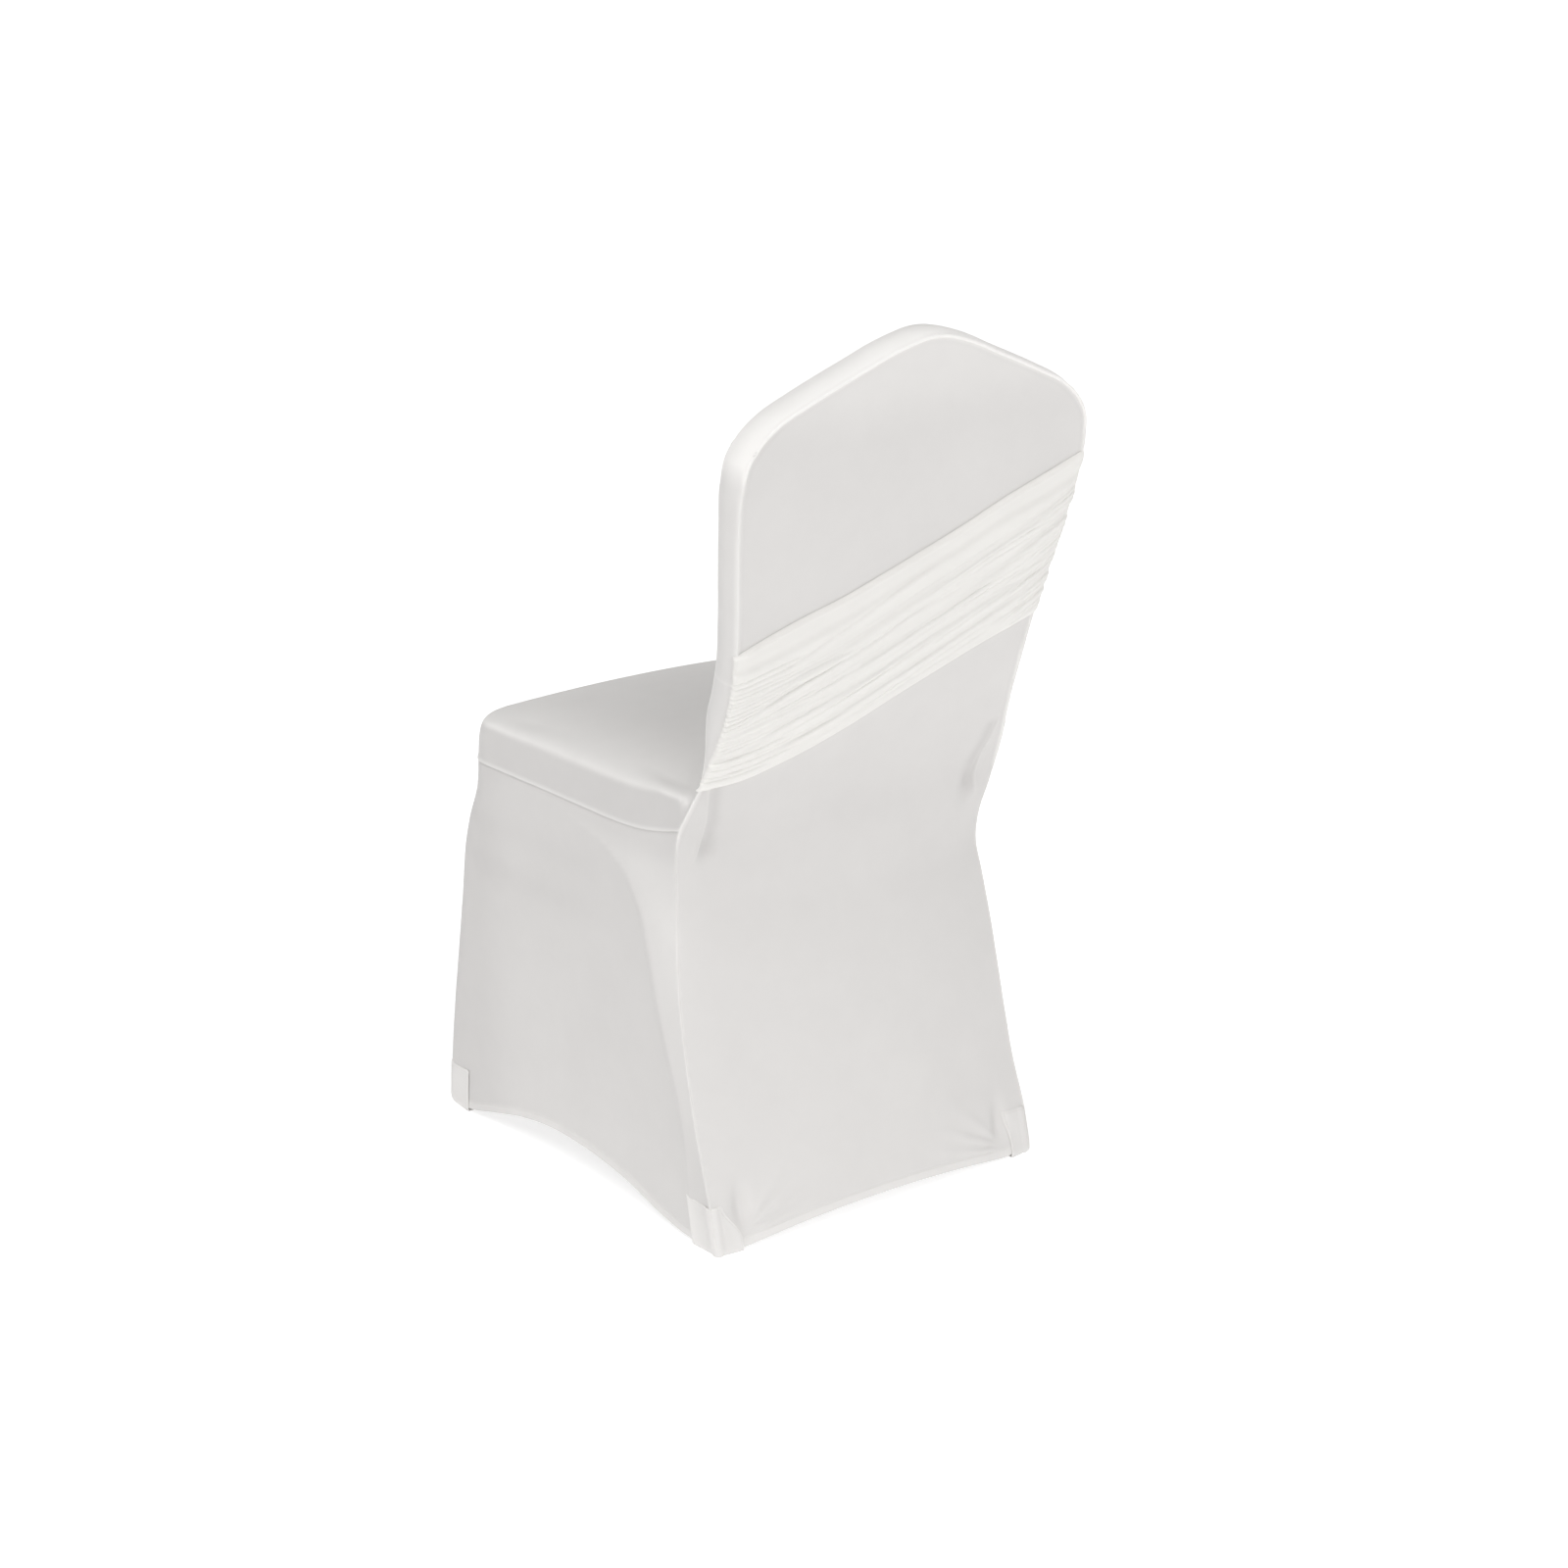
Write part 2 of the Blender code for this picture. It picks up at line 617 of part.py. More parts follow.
def rear_pocket_path(z):
    """Points round a rear corner at the height z, from along the side to along the back."""
    x0 = by_height(REAR_SEAM, 1, z)
    y0 = by_height(REAR_SEAM, 2, z)
    radius = REAR_POCKET_CORNER
    turn = np.linspace(0, np.pi / 2, 5)
    along = np.linspace(REAR_POCKET_SIDE, radius, 4)[:-1]
    high = ease((z - POCKET_TUCK_HEIGHT) / (POCKET_LEVELS[0] - POCKET_TUCK_HEIGHT))
    reach = REAR_POCKET_BACK - REAR_POCKET_BACK_SLANT * high
    across = np.linspace(radius, reach, 4)[1:]
    _, side_end = skirt_section(SIDE_ENDS, z)
    side_x, _ = skirt_section(SIDE_ENDS * along / (y0 - side_end), z)
    back_y = outer_back(x0 - across, z)
    x = np.concatenate([side_x, x0 - radius + radius * np.cos(turn), x0 - across])
    y = np.concatenate([y0 - along, y0 - radius + radius * np.sin(turn), back_y])
    nx = np.concatenate([1 + 0 * along, np.cos(turn), 0 * across])
    ny = np.concatenate([0 * along, np.sin(turn), 1 + 0 * across])
    ends = np.concatenate([along / REAR_POCKET_SIDE, 0 * turn, across / reach])
    grow = pocket_grow(z, ends) + POCKET_CORNER_SPREAD * radius * nx * ny
    return np.stack([x + nx * grow, y + ny * grow], axis=-1)


def front_pocket_path(z):
    """Points round a front corner at the height z, from across the front to along the side."""
    wide, deep, radius = (float(by_height(FRONT_CORNER, k, z)) for k in (1, 2, 3))
    turn = np.linspace(0, np.pi / 2, 7)
    along = np.linspace(radius, FRONT_POCKET_SIDE, 4)[1:]
    across = np.linspace(FRONT_POCKET_ACROSS, radius, 3)[:-1]
    x = np.concatenate([wide - across, wide - radius + radius * np.sin(turn), wide + 0 * along])
    y = np.concatenate([0 * across, radius - radius * np.cos(turn), along]) - deep
    nx = np.concatenate([0 * across, np.sin(turn), 1 + 0 * along])
    ny = np.concatenate([-1 + 0 * across, -np.cos(turn), 0 * along])
    ends = np.concatenate([across / FRONT_POCKET_ACROSS, 0 * turn, along / FRONT_POCKET_SIDE])
    grow = pocket_grow(z, ends)
    return np.stack([x + nx * grow, y + ny * grow], axis=-1)


def make_foot_pocket(name, path, is_left, collection):
    """A doubled patch round a corner of the skirt, folded under the foot to make its floor."""
    walls = []
    for z in POCKET_LEVELS:
        plan = path(z)
        walls.append(np.column_stack([plan, np.full(len(plan), z)]))
    rim = walls[-1]
    heel = rim[0] * (1, 0, 0) + rim[-1] * (0, 1, 0)
    if path is rear_pocket_path:
        heel = rim[-1] * (1, 0, 0) + rim[0] * (0, 1, 0)
    for share in (0.97, 0.60, 0.22):
        floor = heel + (rim - heel) * share
        floor[:, 2] = 0
        walls.append(floor)
    grid = np.array(walls[::-1])
    if not is_left:
        grid = grid[:, ::-1] * np.array([-1, 1, 1])
    sheet(name, grid, collection, BAND_WHITE)


def make_foot_pockets(collection):
    """The four pockets, two at the rear feet and two at the front feet."""
    make_foot_pocket("foot_pocket_rear_left", rear_pocket_path, True, collection)
    make_foot_pocket("foot_pocket_rear_right", rear_pocket_path, False, collection)
    make_foot_pocket("foot_pocket_front_left", front_pocket_path, True, collection)
    make_foot_pocket("foot_pocket_front_right", front_pocket_path, False, collection)


def build():
    remove_scene_objects()
    collection = bpy.data.collections.new("chair_cover")
    bpy.context.scene.collection.children.link(collection)
    make_back_panel(collection)
    make_inner_back_panel(collection)
    make_back_boxing(collection)
    make_seat_panel(collection)
    make_skirt(collection)
    make_band(collection)
    make_foot_pockets(collection)


build()
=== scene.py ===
"""A white stretch cover drawn over a crown-backed banquet chair, seen from behind its left side.

Nine cut pieces of stretch knit and a gathered band are sewn into one cover. The chair is left
out, so every piece keeps the shape that the chair gives it. Metres, +Z up, the floor at zero.
"""

import bpy
import numpy as np
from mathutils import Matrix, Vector


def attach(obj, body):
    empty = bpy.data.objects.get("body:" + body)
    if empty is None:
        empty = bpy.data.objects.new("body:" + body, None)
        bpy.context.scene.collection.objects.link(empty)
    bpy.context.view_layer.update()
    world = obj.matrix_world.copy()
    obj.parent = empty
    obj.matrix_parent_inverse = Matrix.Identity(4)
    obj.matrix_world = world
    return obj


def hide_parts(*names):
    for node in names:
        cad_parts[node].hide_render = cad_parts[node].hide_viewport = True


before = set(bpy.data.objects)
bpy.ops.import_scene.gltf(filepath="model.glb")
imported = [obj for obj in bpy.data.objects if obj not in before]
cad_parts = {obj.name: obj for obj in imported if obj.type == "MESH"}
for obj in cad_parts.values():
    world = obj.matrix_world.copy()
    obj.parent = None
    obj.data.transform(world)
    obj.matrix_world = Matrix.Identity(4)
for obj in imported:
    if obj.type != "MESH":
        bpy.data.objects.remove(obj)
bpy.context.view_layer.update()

# The room is a pale bright floor that sweeps up into a low wall far away, and two broad soft
# lights: a low one from straight behind the chair and a high one over its left side.
FLOOR_LEVEL, FLOOR_RADIUS, WALL_RADIUS, WALL_HEIGHT, FLOOR_SIDES = -0.0006, 20, 36, 4.5, 96
LAMP_SPREAD = np.radians(50)
# name, bearing from straight behind towards the chair's left, height angle, strength
LAMPS = (("back_light", 0, 34, 1.09), ("side_light", 80, 65, 2.04))
outward = np.concatenate([[0.5], FLOOR_RADIUS + (WALL_RADIUS - FLOOR_RADIUS) * np.linspace(0, 1, 9)])
bend_up = np.clip((outward - FLOOR_RADIUS) / (WALL_RADIUS - FLOOR_RADIUS), 0, 1) ** 2.5
around = np.linspace(0, 2 * np.pi, FLOOR_SIDES, endpoint=False)
sweep = np.stack(
    [
        outward[:, None] * np.cos(around),
        outward[:, None] * np.sin(around),
        FLOOR_LEVEL + WALL_HEIGHT * bend_up[:, None] + 0 * around,
    ],
    axis=-1,
)
spot = np.arange(sweep[..., 0].size).reshape(len(outward), FLOOR_SIDES)
next_spot = np.roll(spot, -1, axis=1)
quads = np.stack([spot[:-1], spot[1:], next_spot[1:], next_spot[:-1]], axis=-1).reshape(-1, 4)
floor_mesh = bpy.data.meshes.new("floor")
floor_mesh.from_pydata(sweep.reshape(-1, 3), [], quads.tolist() + [spot[0].tolist()])
floor_mesh.shade_smooth()
floor = bpy.data.objects.new("floor", floor_mesh)
bpy.context.scene.collection.objects.link(floor)
floor_paint = bpy.data.materials.new("pale_floor")
floor_paint.use_nodes = True
floor_shader = floor_paint.node_tree.nodes["Principled BSDF"]
floor_shader.inputs["Base Color"].default_value = (0.55, 0.55, 0.55, 1)
floor_shader.inputs["Roughness"].default_value = 0.9
floor_shader.inputs["Specular IOR Level"].default_value = 0.2
floor_shader.inputs["Emission Color"].default_value = (1, 1, 1, 1)
floor_shader.inputs["Emission Strength"].default_value = 0.72
floor_mesh.materials.append(floor_paint)

sky = bpy.data.worlds.new("soft_room_light")
sky.use_nodes = True
sky.node_tree.nodes["Background"].inputs["Color"].default_value = (1.0, 0.99, 0.985, 1)
sky.node_tree.nodes["Background"].inputs["Strength"].default_value = 0.03
bpy.context.scene.world = sky

for name, bearing, raised, strength in LAMPS:
    lamp = bpy.data.lights.new(name, "SUN")
    lamp.energy = strength
    lamp.angle = LAMP_SPREAD
    bearing, raised = np.radians((bearing, raised))
    towards = Vector((np.sin(bearing) * np.cos(raised), np.cos(bearing) * np.cos(raised), np.sin(raised)))
    holder = bpy.data.objects.new(name, lamp)
    holder.rotation_euler = towards.to_track_quat("Z", "Y").to_euler()
    bpy.context.scene.collection.objects.link(holder)
bpy.context.scene.view_settings.view_transform = "Standard"

# The camera stands 3.3 m away, half a metre above the crown, behind the chair's left side, and
# looks down a little at the middle of the cover.
LOOK_AT = Vector((0, 0.024, 0.46))
BEARING, RAISE, DISTANCE = np.radians(37.70), np.radians(17.08), 3.31
camera_data = bpy.data.cameras.new("camera")
camera_data.lens = 72.9
camera_data.sensor_width = 36
camera_data.shift_x = 0.01125
camera_data.shift_y = -0.030
camera = bpy.data.objects.new("camera", camera_data)
away = Vector((np.sin(BEARING) * np.cos(RAISE), np.cos(BEARING) * np.cos(RAISE), np.sin(RAISE)))
camera.location = LOOK_AT + away * DISTANCE
camera.rotation_euler = away.to_track_quat("Z", "Y").to_euler()
bpy.context.scene.collection.objects.link(camera)
bpy.context.scene.camera = camera

# The outer back is one cut of white stretch knit from the crown to the floor hem. It is drawn
# flat over the padded backrest, then hangs free below the waist and flares over the rear legs.
CLOTH, FLOOR_CLEAR = 0.0012, 0.0032
WAIST_TIP_HEIGHT, LEVEL_BELOW, SHOULDER_HEIGHT = 0.487, 0.60, 0.826
BACK_ARCH, BACK_ARCH_SHARE, FOOT_PULL_FADE, CORNER_LIFT = 0.0078, 0.80, 0.14, 0.009
# Width of a turned-up hem and of its upper edge, as relief and as the whiter doubled cloth
HEM_WIDTH, HEM_EDGE, WHITE_WIDTH, WHITE_EDGE = 0.0095, 0.0015, 0.0105, 0.002
REAR_SEAM = np.array(
    [
        # height, half width, y
        (0.000, 0.2110, 0.2170),
        (0.050, 0.2105, 0.2045),
        (0.100, 0.2090, 0.1870),
        (0.150, 0.2085, 0.1730),
        (0.200, 0.2075, 0.1610),
        (0.250, 0.2055, 0.1500),
        (0.300, 0.2010, 0.1400),
        (0.340, 0.1965, 0.1335),
        (0.370, 0.1985, 0.1360),
        (0.400, 0.2040, 0.1430),
        (0.434, 0.2070, 0.1530),
        (0.460, 0.2030, 0.1655),
        (0.480, 0.1985, 0.1745),
        (0.500, 0.1950, 0.1832),
        (0.520, 0.1915, 0.1920),
        (0.550, 0.1890, 0.2045),
        (0.600, 0.1900, 0.2205),
        (0.650, 0.1965, 0.2330),
        (0.700, 0.2050, 0.2450),
        (0.750, 0.2120, 0.2560),
        (0.790, 0.2145, 0.2645),
        (0.826, 0.2045, 0.2700),
        (0.868, 0.1450, 0.2755),
        (0.904, 0.0570, 0.2835),
        (0.918, 0.0100, 0.2880),
    ]
)
CROWN_EDGE = np.array(
    [
        # x, height
        (0.2045, 0.8260),
        (0.1980, 0.8345),
        (0.1810, 0.8490),
        (0.1450, 0.8670),
        (0.1200, 0.8778),
        (0.0780, 0.8950),
        (0.0570, 0.9040),
        (0.0300, 0.9130),
        (0.0120, 0.9172),
        (0.0000, 0.9180),
    ]
)
BACK_SWELL = np.array(
    [
        # height, how far the middle stands behind the seams
        (0.000, 0.0010),
        (0.100, 0.0065),
        (0.200, 0.0130),
        (0.300, 0.0190),
        (0.360, 0.0210),
        (0.420, 0.0150),
        (0.480, 0.0060),
        (0.550, 0.0040),
        (0.700, 0.0040),
        (0.800, 0.0030),
        (0.918, 0.0000),
    ]
)
POST_LINE = np.array(
    [
        # height, half width of the backrest's post under the cloth
        (0.388, 0.1890),
        (0.404, 0.1816),
        (0.415, 0.1791),
        (0.429, 0.1782),
        (0.446, 0.1802),
        (0.459, 0.1838),
        (0.471, 0.1863),
        (0.486, 0.1885),
    ]
)
# x, height, half width, half height, depth
POST_HOLLOWS = ((0.170, 0.409, 0.009, 0.016, 0.0062), (0.162, 0.424, 0.016, 0.026, 0.0026))
FOOT_DIMPLES = ((0.173, 0.040, 0.009, 0.019, 0.0074), (0.160, 0.022, 0.010, 0.010, 0.0024))
RIDGE_RISE, RIDGE_IN, RIDGE_OUT = 0.0015, 0.0020, 0.006
# The streaks fan out from this place beside each rear foot: angle, half width, height
STREAK_X, STREAK_Z = 0.186, 0.010
FOOT_STREAKS = ((0.20, 0.06, 0.0016), (0.42, 0.06, 0.0018), (0.70, 0.09, 0.0012))


def ease(t):
    """3t^2 - 2t^3 on t cut to 0..1: a step with soft ends."""
    t = np.clip(t, 0, 1)
    return t * t * (3 - 2 * t)


def bump(t):
    """e to the power of -t^2: a soft bump that is 1 at t = 0."""
    return np.exp(-(t**2))


def curve(at, xs, ys):
    """A smooth line through (xs, ys): on each stretch the cubic with the mean slopes at its ends."""
    at = np.clip(np.asarray(at, float), xs[0], xs[-1])
    slope = np.gradient(ys, xs)
    i = np.clip(np.searchsorted(xs, at, side="right") - 1, 0, len(xs) - 2)
    width = xs[i + 1] - xs[i]
    t = (at - xs[i]) / width
    low = (1 + 2 * t) * (1 - t) ** 2 * ys[i] + t * (1 - t) ** 2 * width * slope[i]
    high = t * t * (3 - 2 * t) * ys[i + 1] - t * t * (1 - t) * width * slope[i + 1]
    return low + high


def column(table, k, at):
    """Column k of a table whose first column rises, read at any value of that first column."""
    return curve(at, table[:, 0], table[:, k])


def outer_back_y(x, z):
    """y of the outer back: the side seams' y, plus a swell times 1 - (share of half width)^2.

    Below the waist the backrest's post adds a narrow ridge on each side, steep towards the hollows
    inside it, and each rear foot presses dimples beside its pocket.
    """
    half = np.maximum(column(REAR_SEAM, 1, z), 0.05)
    share = np.clip(np.abs(x) / half, 0, 1)
    y = column(REAR_SEAM, 2, z) + column(BACK_SWELL, 1, z) * (1 - share**2)
    off = np.abs(x) - column(POST_LINE, 1, z)
    runs = ease((z - POST_LINE[0, 0]) / 0.016) * ease((POST_LINE[-1, 0] - z) / 0.010)
    relief = RIDGE_RISE * runs * np.where(off < 0, bump(off / RIDGE_IN), bump(off / RIDGE_OUT))
    for side, height, wide, tall, depth in POST_HOLLOWS + FOOT_DIMPLES:
        relief = relief - depth * bump((np.abs(x) - side) / wide) * bump((z - height) / tall)
    return y + relief * ease((half - np.abs(x)) / 0.010)


def back_net(heights, shares, foot=None):
    """The outer back as rows of points: level low down, and bent to the crown's edge above.

    shares run from 1 on the left seam to -1 on the right one. foot is the lowest row's height at
    each share, and its pull fades out over the rows above it.
    """
    crown = np.concatenate([CROWN_EDGE, CROWN_EDGE[-2::-1] * (-1, 1)])
    run = np.concatenate([[0], np.cumsum(np.linalg.norm(np.diff(crown, axis=0), axis=1))])
    at = (1 - shares) / 2 * run[-1]
    crown_x, crown_z = curve(at, run, crown[:, 0]), curve(at, run, crown[:, 1])
    side = np.asarray(heights, float)[:, None]
    lift = ease((side - LEVEL_BELOW) / (SHOULDER_HEIGHT - LEVEL_BELOW))
    half = column(REAR_SEAM, 1, side)
    x = half * shares * (1 - lift) + half / CROWN_EDGE[0, 0] * crown_x * lift
    z = side + lift**1.5 * (crown_z - SHOULDER_HEIGHT)
    if foot is not None:
        z = z + (foot - heights[0]) * (1 - ease((side - heights[0]) / FOOT_PULL_FADE))
    return np.stack([x, outer_back_y(x, z), z], axis=-1)


def outwards(net, ring=False):
    """Unit normals of a net of points: its row direction crossed with its column direction."""
    if ring:
        along = np.roll(net, -1, axis=1) - np.roll(net, 1, axis=1)
    else:
        along = np.gradient(net, axis=1)
    normal = np.cross(along, np.gradient(net, axis=0))
    return normal / np.maximum(np.linalg.norm(normal, axis=-1, keepdims=True), 1e-12)


def from_line(net, line):
    """For each point of a net: its distance from a line of points, and how far along that is."""
    points = net.reshape(-1, 3)
    steps = np.linalg.norm(np.diff(line, axis=0), axis=1)
    run = np.concatenate([[0], np.cumsum(steps)])
    fine = np.linspace(0, run[-1], max(2, int(run[-1] / 0.002)))
    spots = np.stack([np.interp(fine, run, line[:, k]) for k in range(3)], axis=1)
    heading = np.gradient(spots, axis=0)
    heading /= np.linalg.norm(heading, axis=1, keepdims=True)
    square = (spots**2).sum(axis=1)
    nearest = np.concatenate(
        [np.argmin(square - 2 * part @ spots.T, axis=1) for part in np.array_split(points, 12)]
    )
    offset = points - spots[nearest]
    ahead = (offset * heading[nearest]).sum(axis=1)
    away = np.sqrt(np.maximum((offset**2).sum(axis=1) - ahead**2, 0))
    shape = net.shape[:-1]
    return away.reshape(shape), (fine[nearest] + ahead).reshape(shape)


def seam_ridge(distance, half_width, height):
    """The turned-in edges under a seam: a soft bank along it, and a shallow dent beside the bank."""
    dent = bump((distance - 2.1 * half_width) / (0.6 * half_width))
    return height * (bump(distance / half_width) - 0.3 * dent)


def shader_group(name, inputs, outputs):
    """An empty node group with float, vector or colour sockets."""
    group = bpy.data.node_groups.new(name, "ShaderNodeTree")
    for label, kind, value in inputs:
        socket = group.interface.new_socket(label, in_out="INPUT", socket_type=kind)
        socket.default_value = value
    for label, kind in outputs:
        group.interface.new_socket(label, in_out="OUTPUT", socket_type=kind)
    return group, group.nodes.new("NodeGroupInput"), group.nodes.new("NodeGroupOutput")


def calc(tree, sort, a, b=None, c=None):
    """A Math node of the given sort, fed by sockets or plain numbers."""
    node = tree.nodes.new("ShaderNodeMath")
    node.operation = sort
    for k, value in enumerate((a, b, c)):
        if isinstance(value, (int, float)):
            node.inputs[k].default_value = value
        elif value is not None:
            tree.links.new(value, node.inputs[k])
    return node.outputs[0]


def make_knit_group():
    """Knit loops from a cloth map in metres: ribs along the wales, and V-shaped loops on them.

    height = 0.55 |sin(pi u / wale)| + 0.45 (0.5 + 0.5 sin(2 pi (v / course + |frac(u) - 0.5|)))
    """
    group, given, out = shader_group(
        "knit_loops",
        [
            ("Cloth", "NodeSocketVector", (0, 0, 0)),
            ("Wale", "NodeSocketFloat", 0.0011),
            ("Course", "NodeSocketFloat", 0.0009),
        ],
        [("Height", "NodeSocketFloat")],
    )
    split = group.nodes.new("ShaderNodeSeparateXYZ")
    group.links.new(given.outputs["Cloth"], split.inputs[0])
    u = calc(group, "DIVIDE", split.outputs["X"], given.outputs["Wale"])
    v = calc(group, "DIVIDE", split.outputs["Y"], given.outputs["Course"])
    rib = calc(group, "ABSOLUTE", calc(group, "SINE", calc(group, "MULTIPLY", u, np.pi)))
    lean = calc(group, "ABSOLUTE", calc(group, "SUBTRACT", calc(group, "FRACT", u), 0.5))
    loop = calc(group, "SINE", calc(group, "MULTIPLY", calc(group, "ADD", v, lean), 2 * np.pi))
    loop = calc(group, "MULTIPLY_ADD", loop, 0.225, 0.225)
    height = calc(group, "MULTIPLY_ADD", rib, 0.55, loop)
    group.links.new(height, out.inputs["Height"])
    return group


def make_stitch_group():
    """Rows of stitches beside a seam, from a map of (way along, distance) in metres.

    Each stitch is a short dent: a bump across the row times a squared sine along it.
    """
    group, given, out = shader_group(
        "seam_stitches",
        [
            ("Seam", "NodeSocketVector", (0, 0, 0)),
            ("Row", "NodeSocketFloat", 0.008),
            ("Pitch", "NodeSocketFloat", 0.003),
        ],
        [("Mask", "NodeSocketFloat")],
    )
    split = group.nodes.new("ShaderNodeSeparateXYZ")
    group.links.new(given.outputs["Seam"], split.inputs[0])
    off = calc(group, "SUBTRACT", split.outputs["Y"], given.outputs["Row"])
    near = calc(group, "SUBTRACT", 1.0, calc(group, "DIVIDE", calc(group, "ABSOLUTE", off), 0.0006))
    near = calc(group, "MAXIMUM", near, 0.0)
    turn = calc(group, "DIVIDE", split.outputs["X"], given.outputs["Pitch"])
    dash = calc(group, "ABSOLUTE", calc(group, "SINE", calc(group, "MULTIPLY", turn, np.pi)))
    mask = calc(group, "MULTIPLY", near, calc(group, "POWER", dash, 0.6))
    group.links.new(mask, out.inputs["Mask"])
    return group


def make_mottle_group():
    """Slow unevenness of stretched cloth: two noises at hand and finger size, centred on zero."""
    group, given, out = shader_group(
        "stretch_mottle",
        [("Place", "NodeSocketVector", (0, 0, 0)), ("Strength", "NodeSocketFloat", 0.1)],
        [("Change", "NodeSocketFloat")],
    )
    total = None
    for scale, weight in ((9.0, 1.0), (46.0, 0.45)):
        noise = group.nodes.new("ShaderNodeTexNoise")
        noise.inputs["Scale"].default_value = scale
        noise.inputs["Detail"].default_value = 2.0
        group.links.new(given.outputs["Place"], noise.inputs["Vector"])
        part = calc(group, "MULTIPLY", calc(group, "SUBTRACT", noise.outputs[0], 0.5), weight)
        total = part if total is None else calc(group, "ADD", total, part)
    change = calc(group, "MULTIPLY", total, given.outputs["Strength"])
    group.links.new(change, out.inputs["Change"])
    return group


knit_loops, seam_stitches, stretch_mottle = make_knit_group(), make_stitch_group(), make_mottle_group()


def knit_material(name, thin, doubled, stitch_row, sheen, knit_depth):
    """White stretch knit whose colour runs from thin, over a dark hollow, to doubled, at seams.

    The attribute shade picks the place between the two, with a little mottle. It holds the cloth's
    own tone, whiter where it is doubled, and painted light and shade as well: painted shade in
    hollows and creases, painted highlights on ridges, and faces painted lighter or darker by how the
    light falls on them. Stitches and knit loops are bump, from the piece's own cloth and seam maps.
    """
    material = bpy.data.materials.new(name)
    material.use_nodes = True
    tree = material.node_tree
    shader = tree.nodes["Principled BSDF"]
    shader.inputs["Roughness"].default_value = 0.82
    shader.inputs["Specular IOR Level"].default_value = 0.25
    shader.inputs["Sheen Weight"].default_value = sheen
    shader.inputs["Sheen Roughness"].default_value = 0.45
    shade = tree.nodes.new("ShaderNodeAttribute")
    shade.attribute_name = "shade"
    place = tree.nodes.new("ShaderNodeTexCoord")
    mottle = tree.nodes.new("ShaderNodeGroup")
    mottle.node_tree = stretch_mottle
    mottle.inputs["Strength"].default_value = 0.16
    tree.links.new(place.outputs["Object"], mottle.inputs["Place"])
    amount = calc(tree, "ADD", shade.outputs["Fac"], mottle.outputs["Change"])
    blend = tree.nodes.new("ShaderNodeMix")
    blend.data_type = "RGBA"
    blend.inputs[6].default_value = thin
    blend.inputs[7].default_value = doubled
    tree.links.new(amount, blend.inputs[0])
    seam_map = tree.nodes.new("ShaderNodeUVMap")
    seam_map.uv_map = "seam"
    stitches = tree.nodes.new("ShaderNodeGroup")
    stitches.node_tree = seam_stitches
    stitches.inputs["Row"].default_value = stitch_row
    tree.links.new(seam_map.outputs[0], stitches.inputs["Seam"])
    dimmed = tree.nodes.new("ShaderNodeMix")
    dimmed.data_type = "RGBA"
    dimmed.blend_type = "MULTIPLY"
    dimmed.inputs[7].default_value = (0.90, 0.89, 0.88, 1)
    tree.links.new(calc(tree, "MULTIPLY", stitches.outputs["Mask"], 0.6), dimmed.inputs[0])
    tree.links.new(blend.outputs[2], dimmed.inputs[6])
    tree.links.new(dimmed.outputs[2], shader.inputs["Base Color"])
    cloth_map = tree.nodes.new("ShaderNodeUVMap")
    cloth_map.uv_map = "cloth"
    knit = tree.nodes.new("ShaderNodeGroup")
    knit.node_tree = knit_loops
    tree.links.new(cloth_map.outputs[0], knit.inputs["Cloth"])
    height = calc(tree, "MULTIPLY", knit.outputs["Height"], knit_depth)
    height = calc(tree, "MULTIPLY_ADD", stitches.outputs["Mask"], -0.00025, height)
    relief = tree.nodes.new("ShaderNodeBump")
    relief.inputs["Distance"].default_value = 1.0
    relief.inputs["Strength"].default_value = 1.0
    tree.links.new(height, relief.inputs["Height"])
    tree.links.new(relief.outputs[0], shader.inputs["Normal"])
    return material


COVER_THIN_AND_SHADED, COVER_DOUBLED_AND_LIT, KNIT_DEPTH = (0.60, 0.585, 0.575, 1), (0.88, 0.865, 0.845, 1), 0.00006
cover_cloth = knit_material("white_stretch_knit", COVER_THIN_AND_SHADED, COVER_DOUBLED_AND_LIT, 0.0085, 0.15, KNIT_DEPTH)


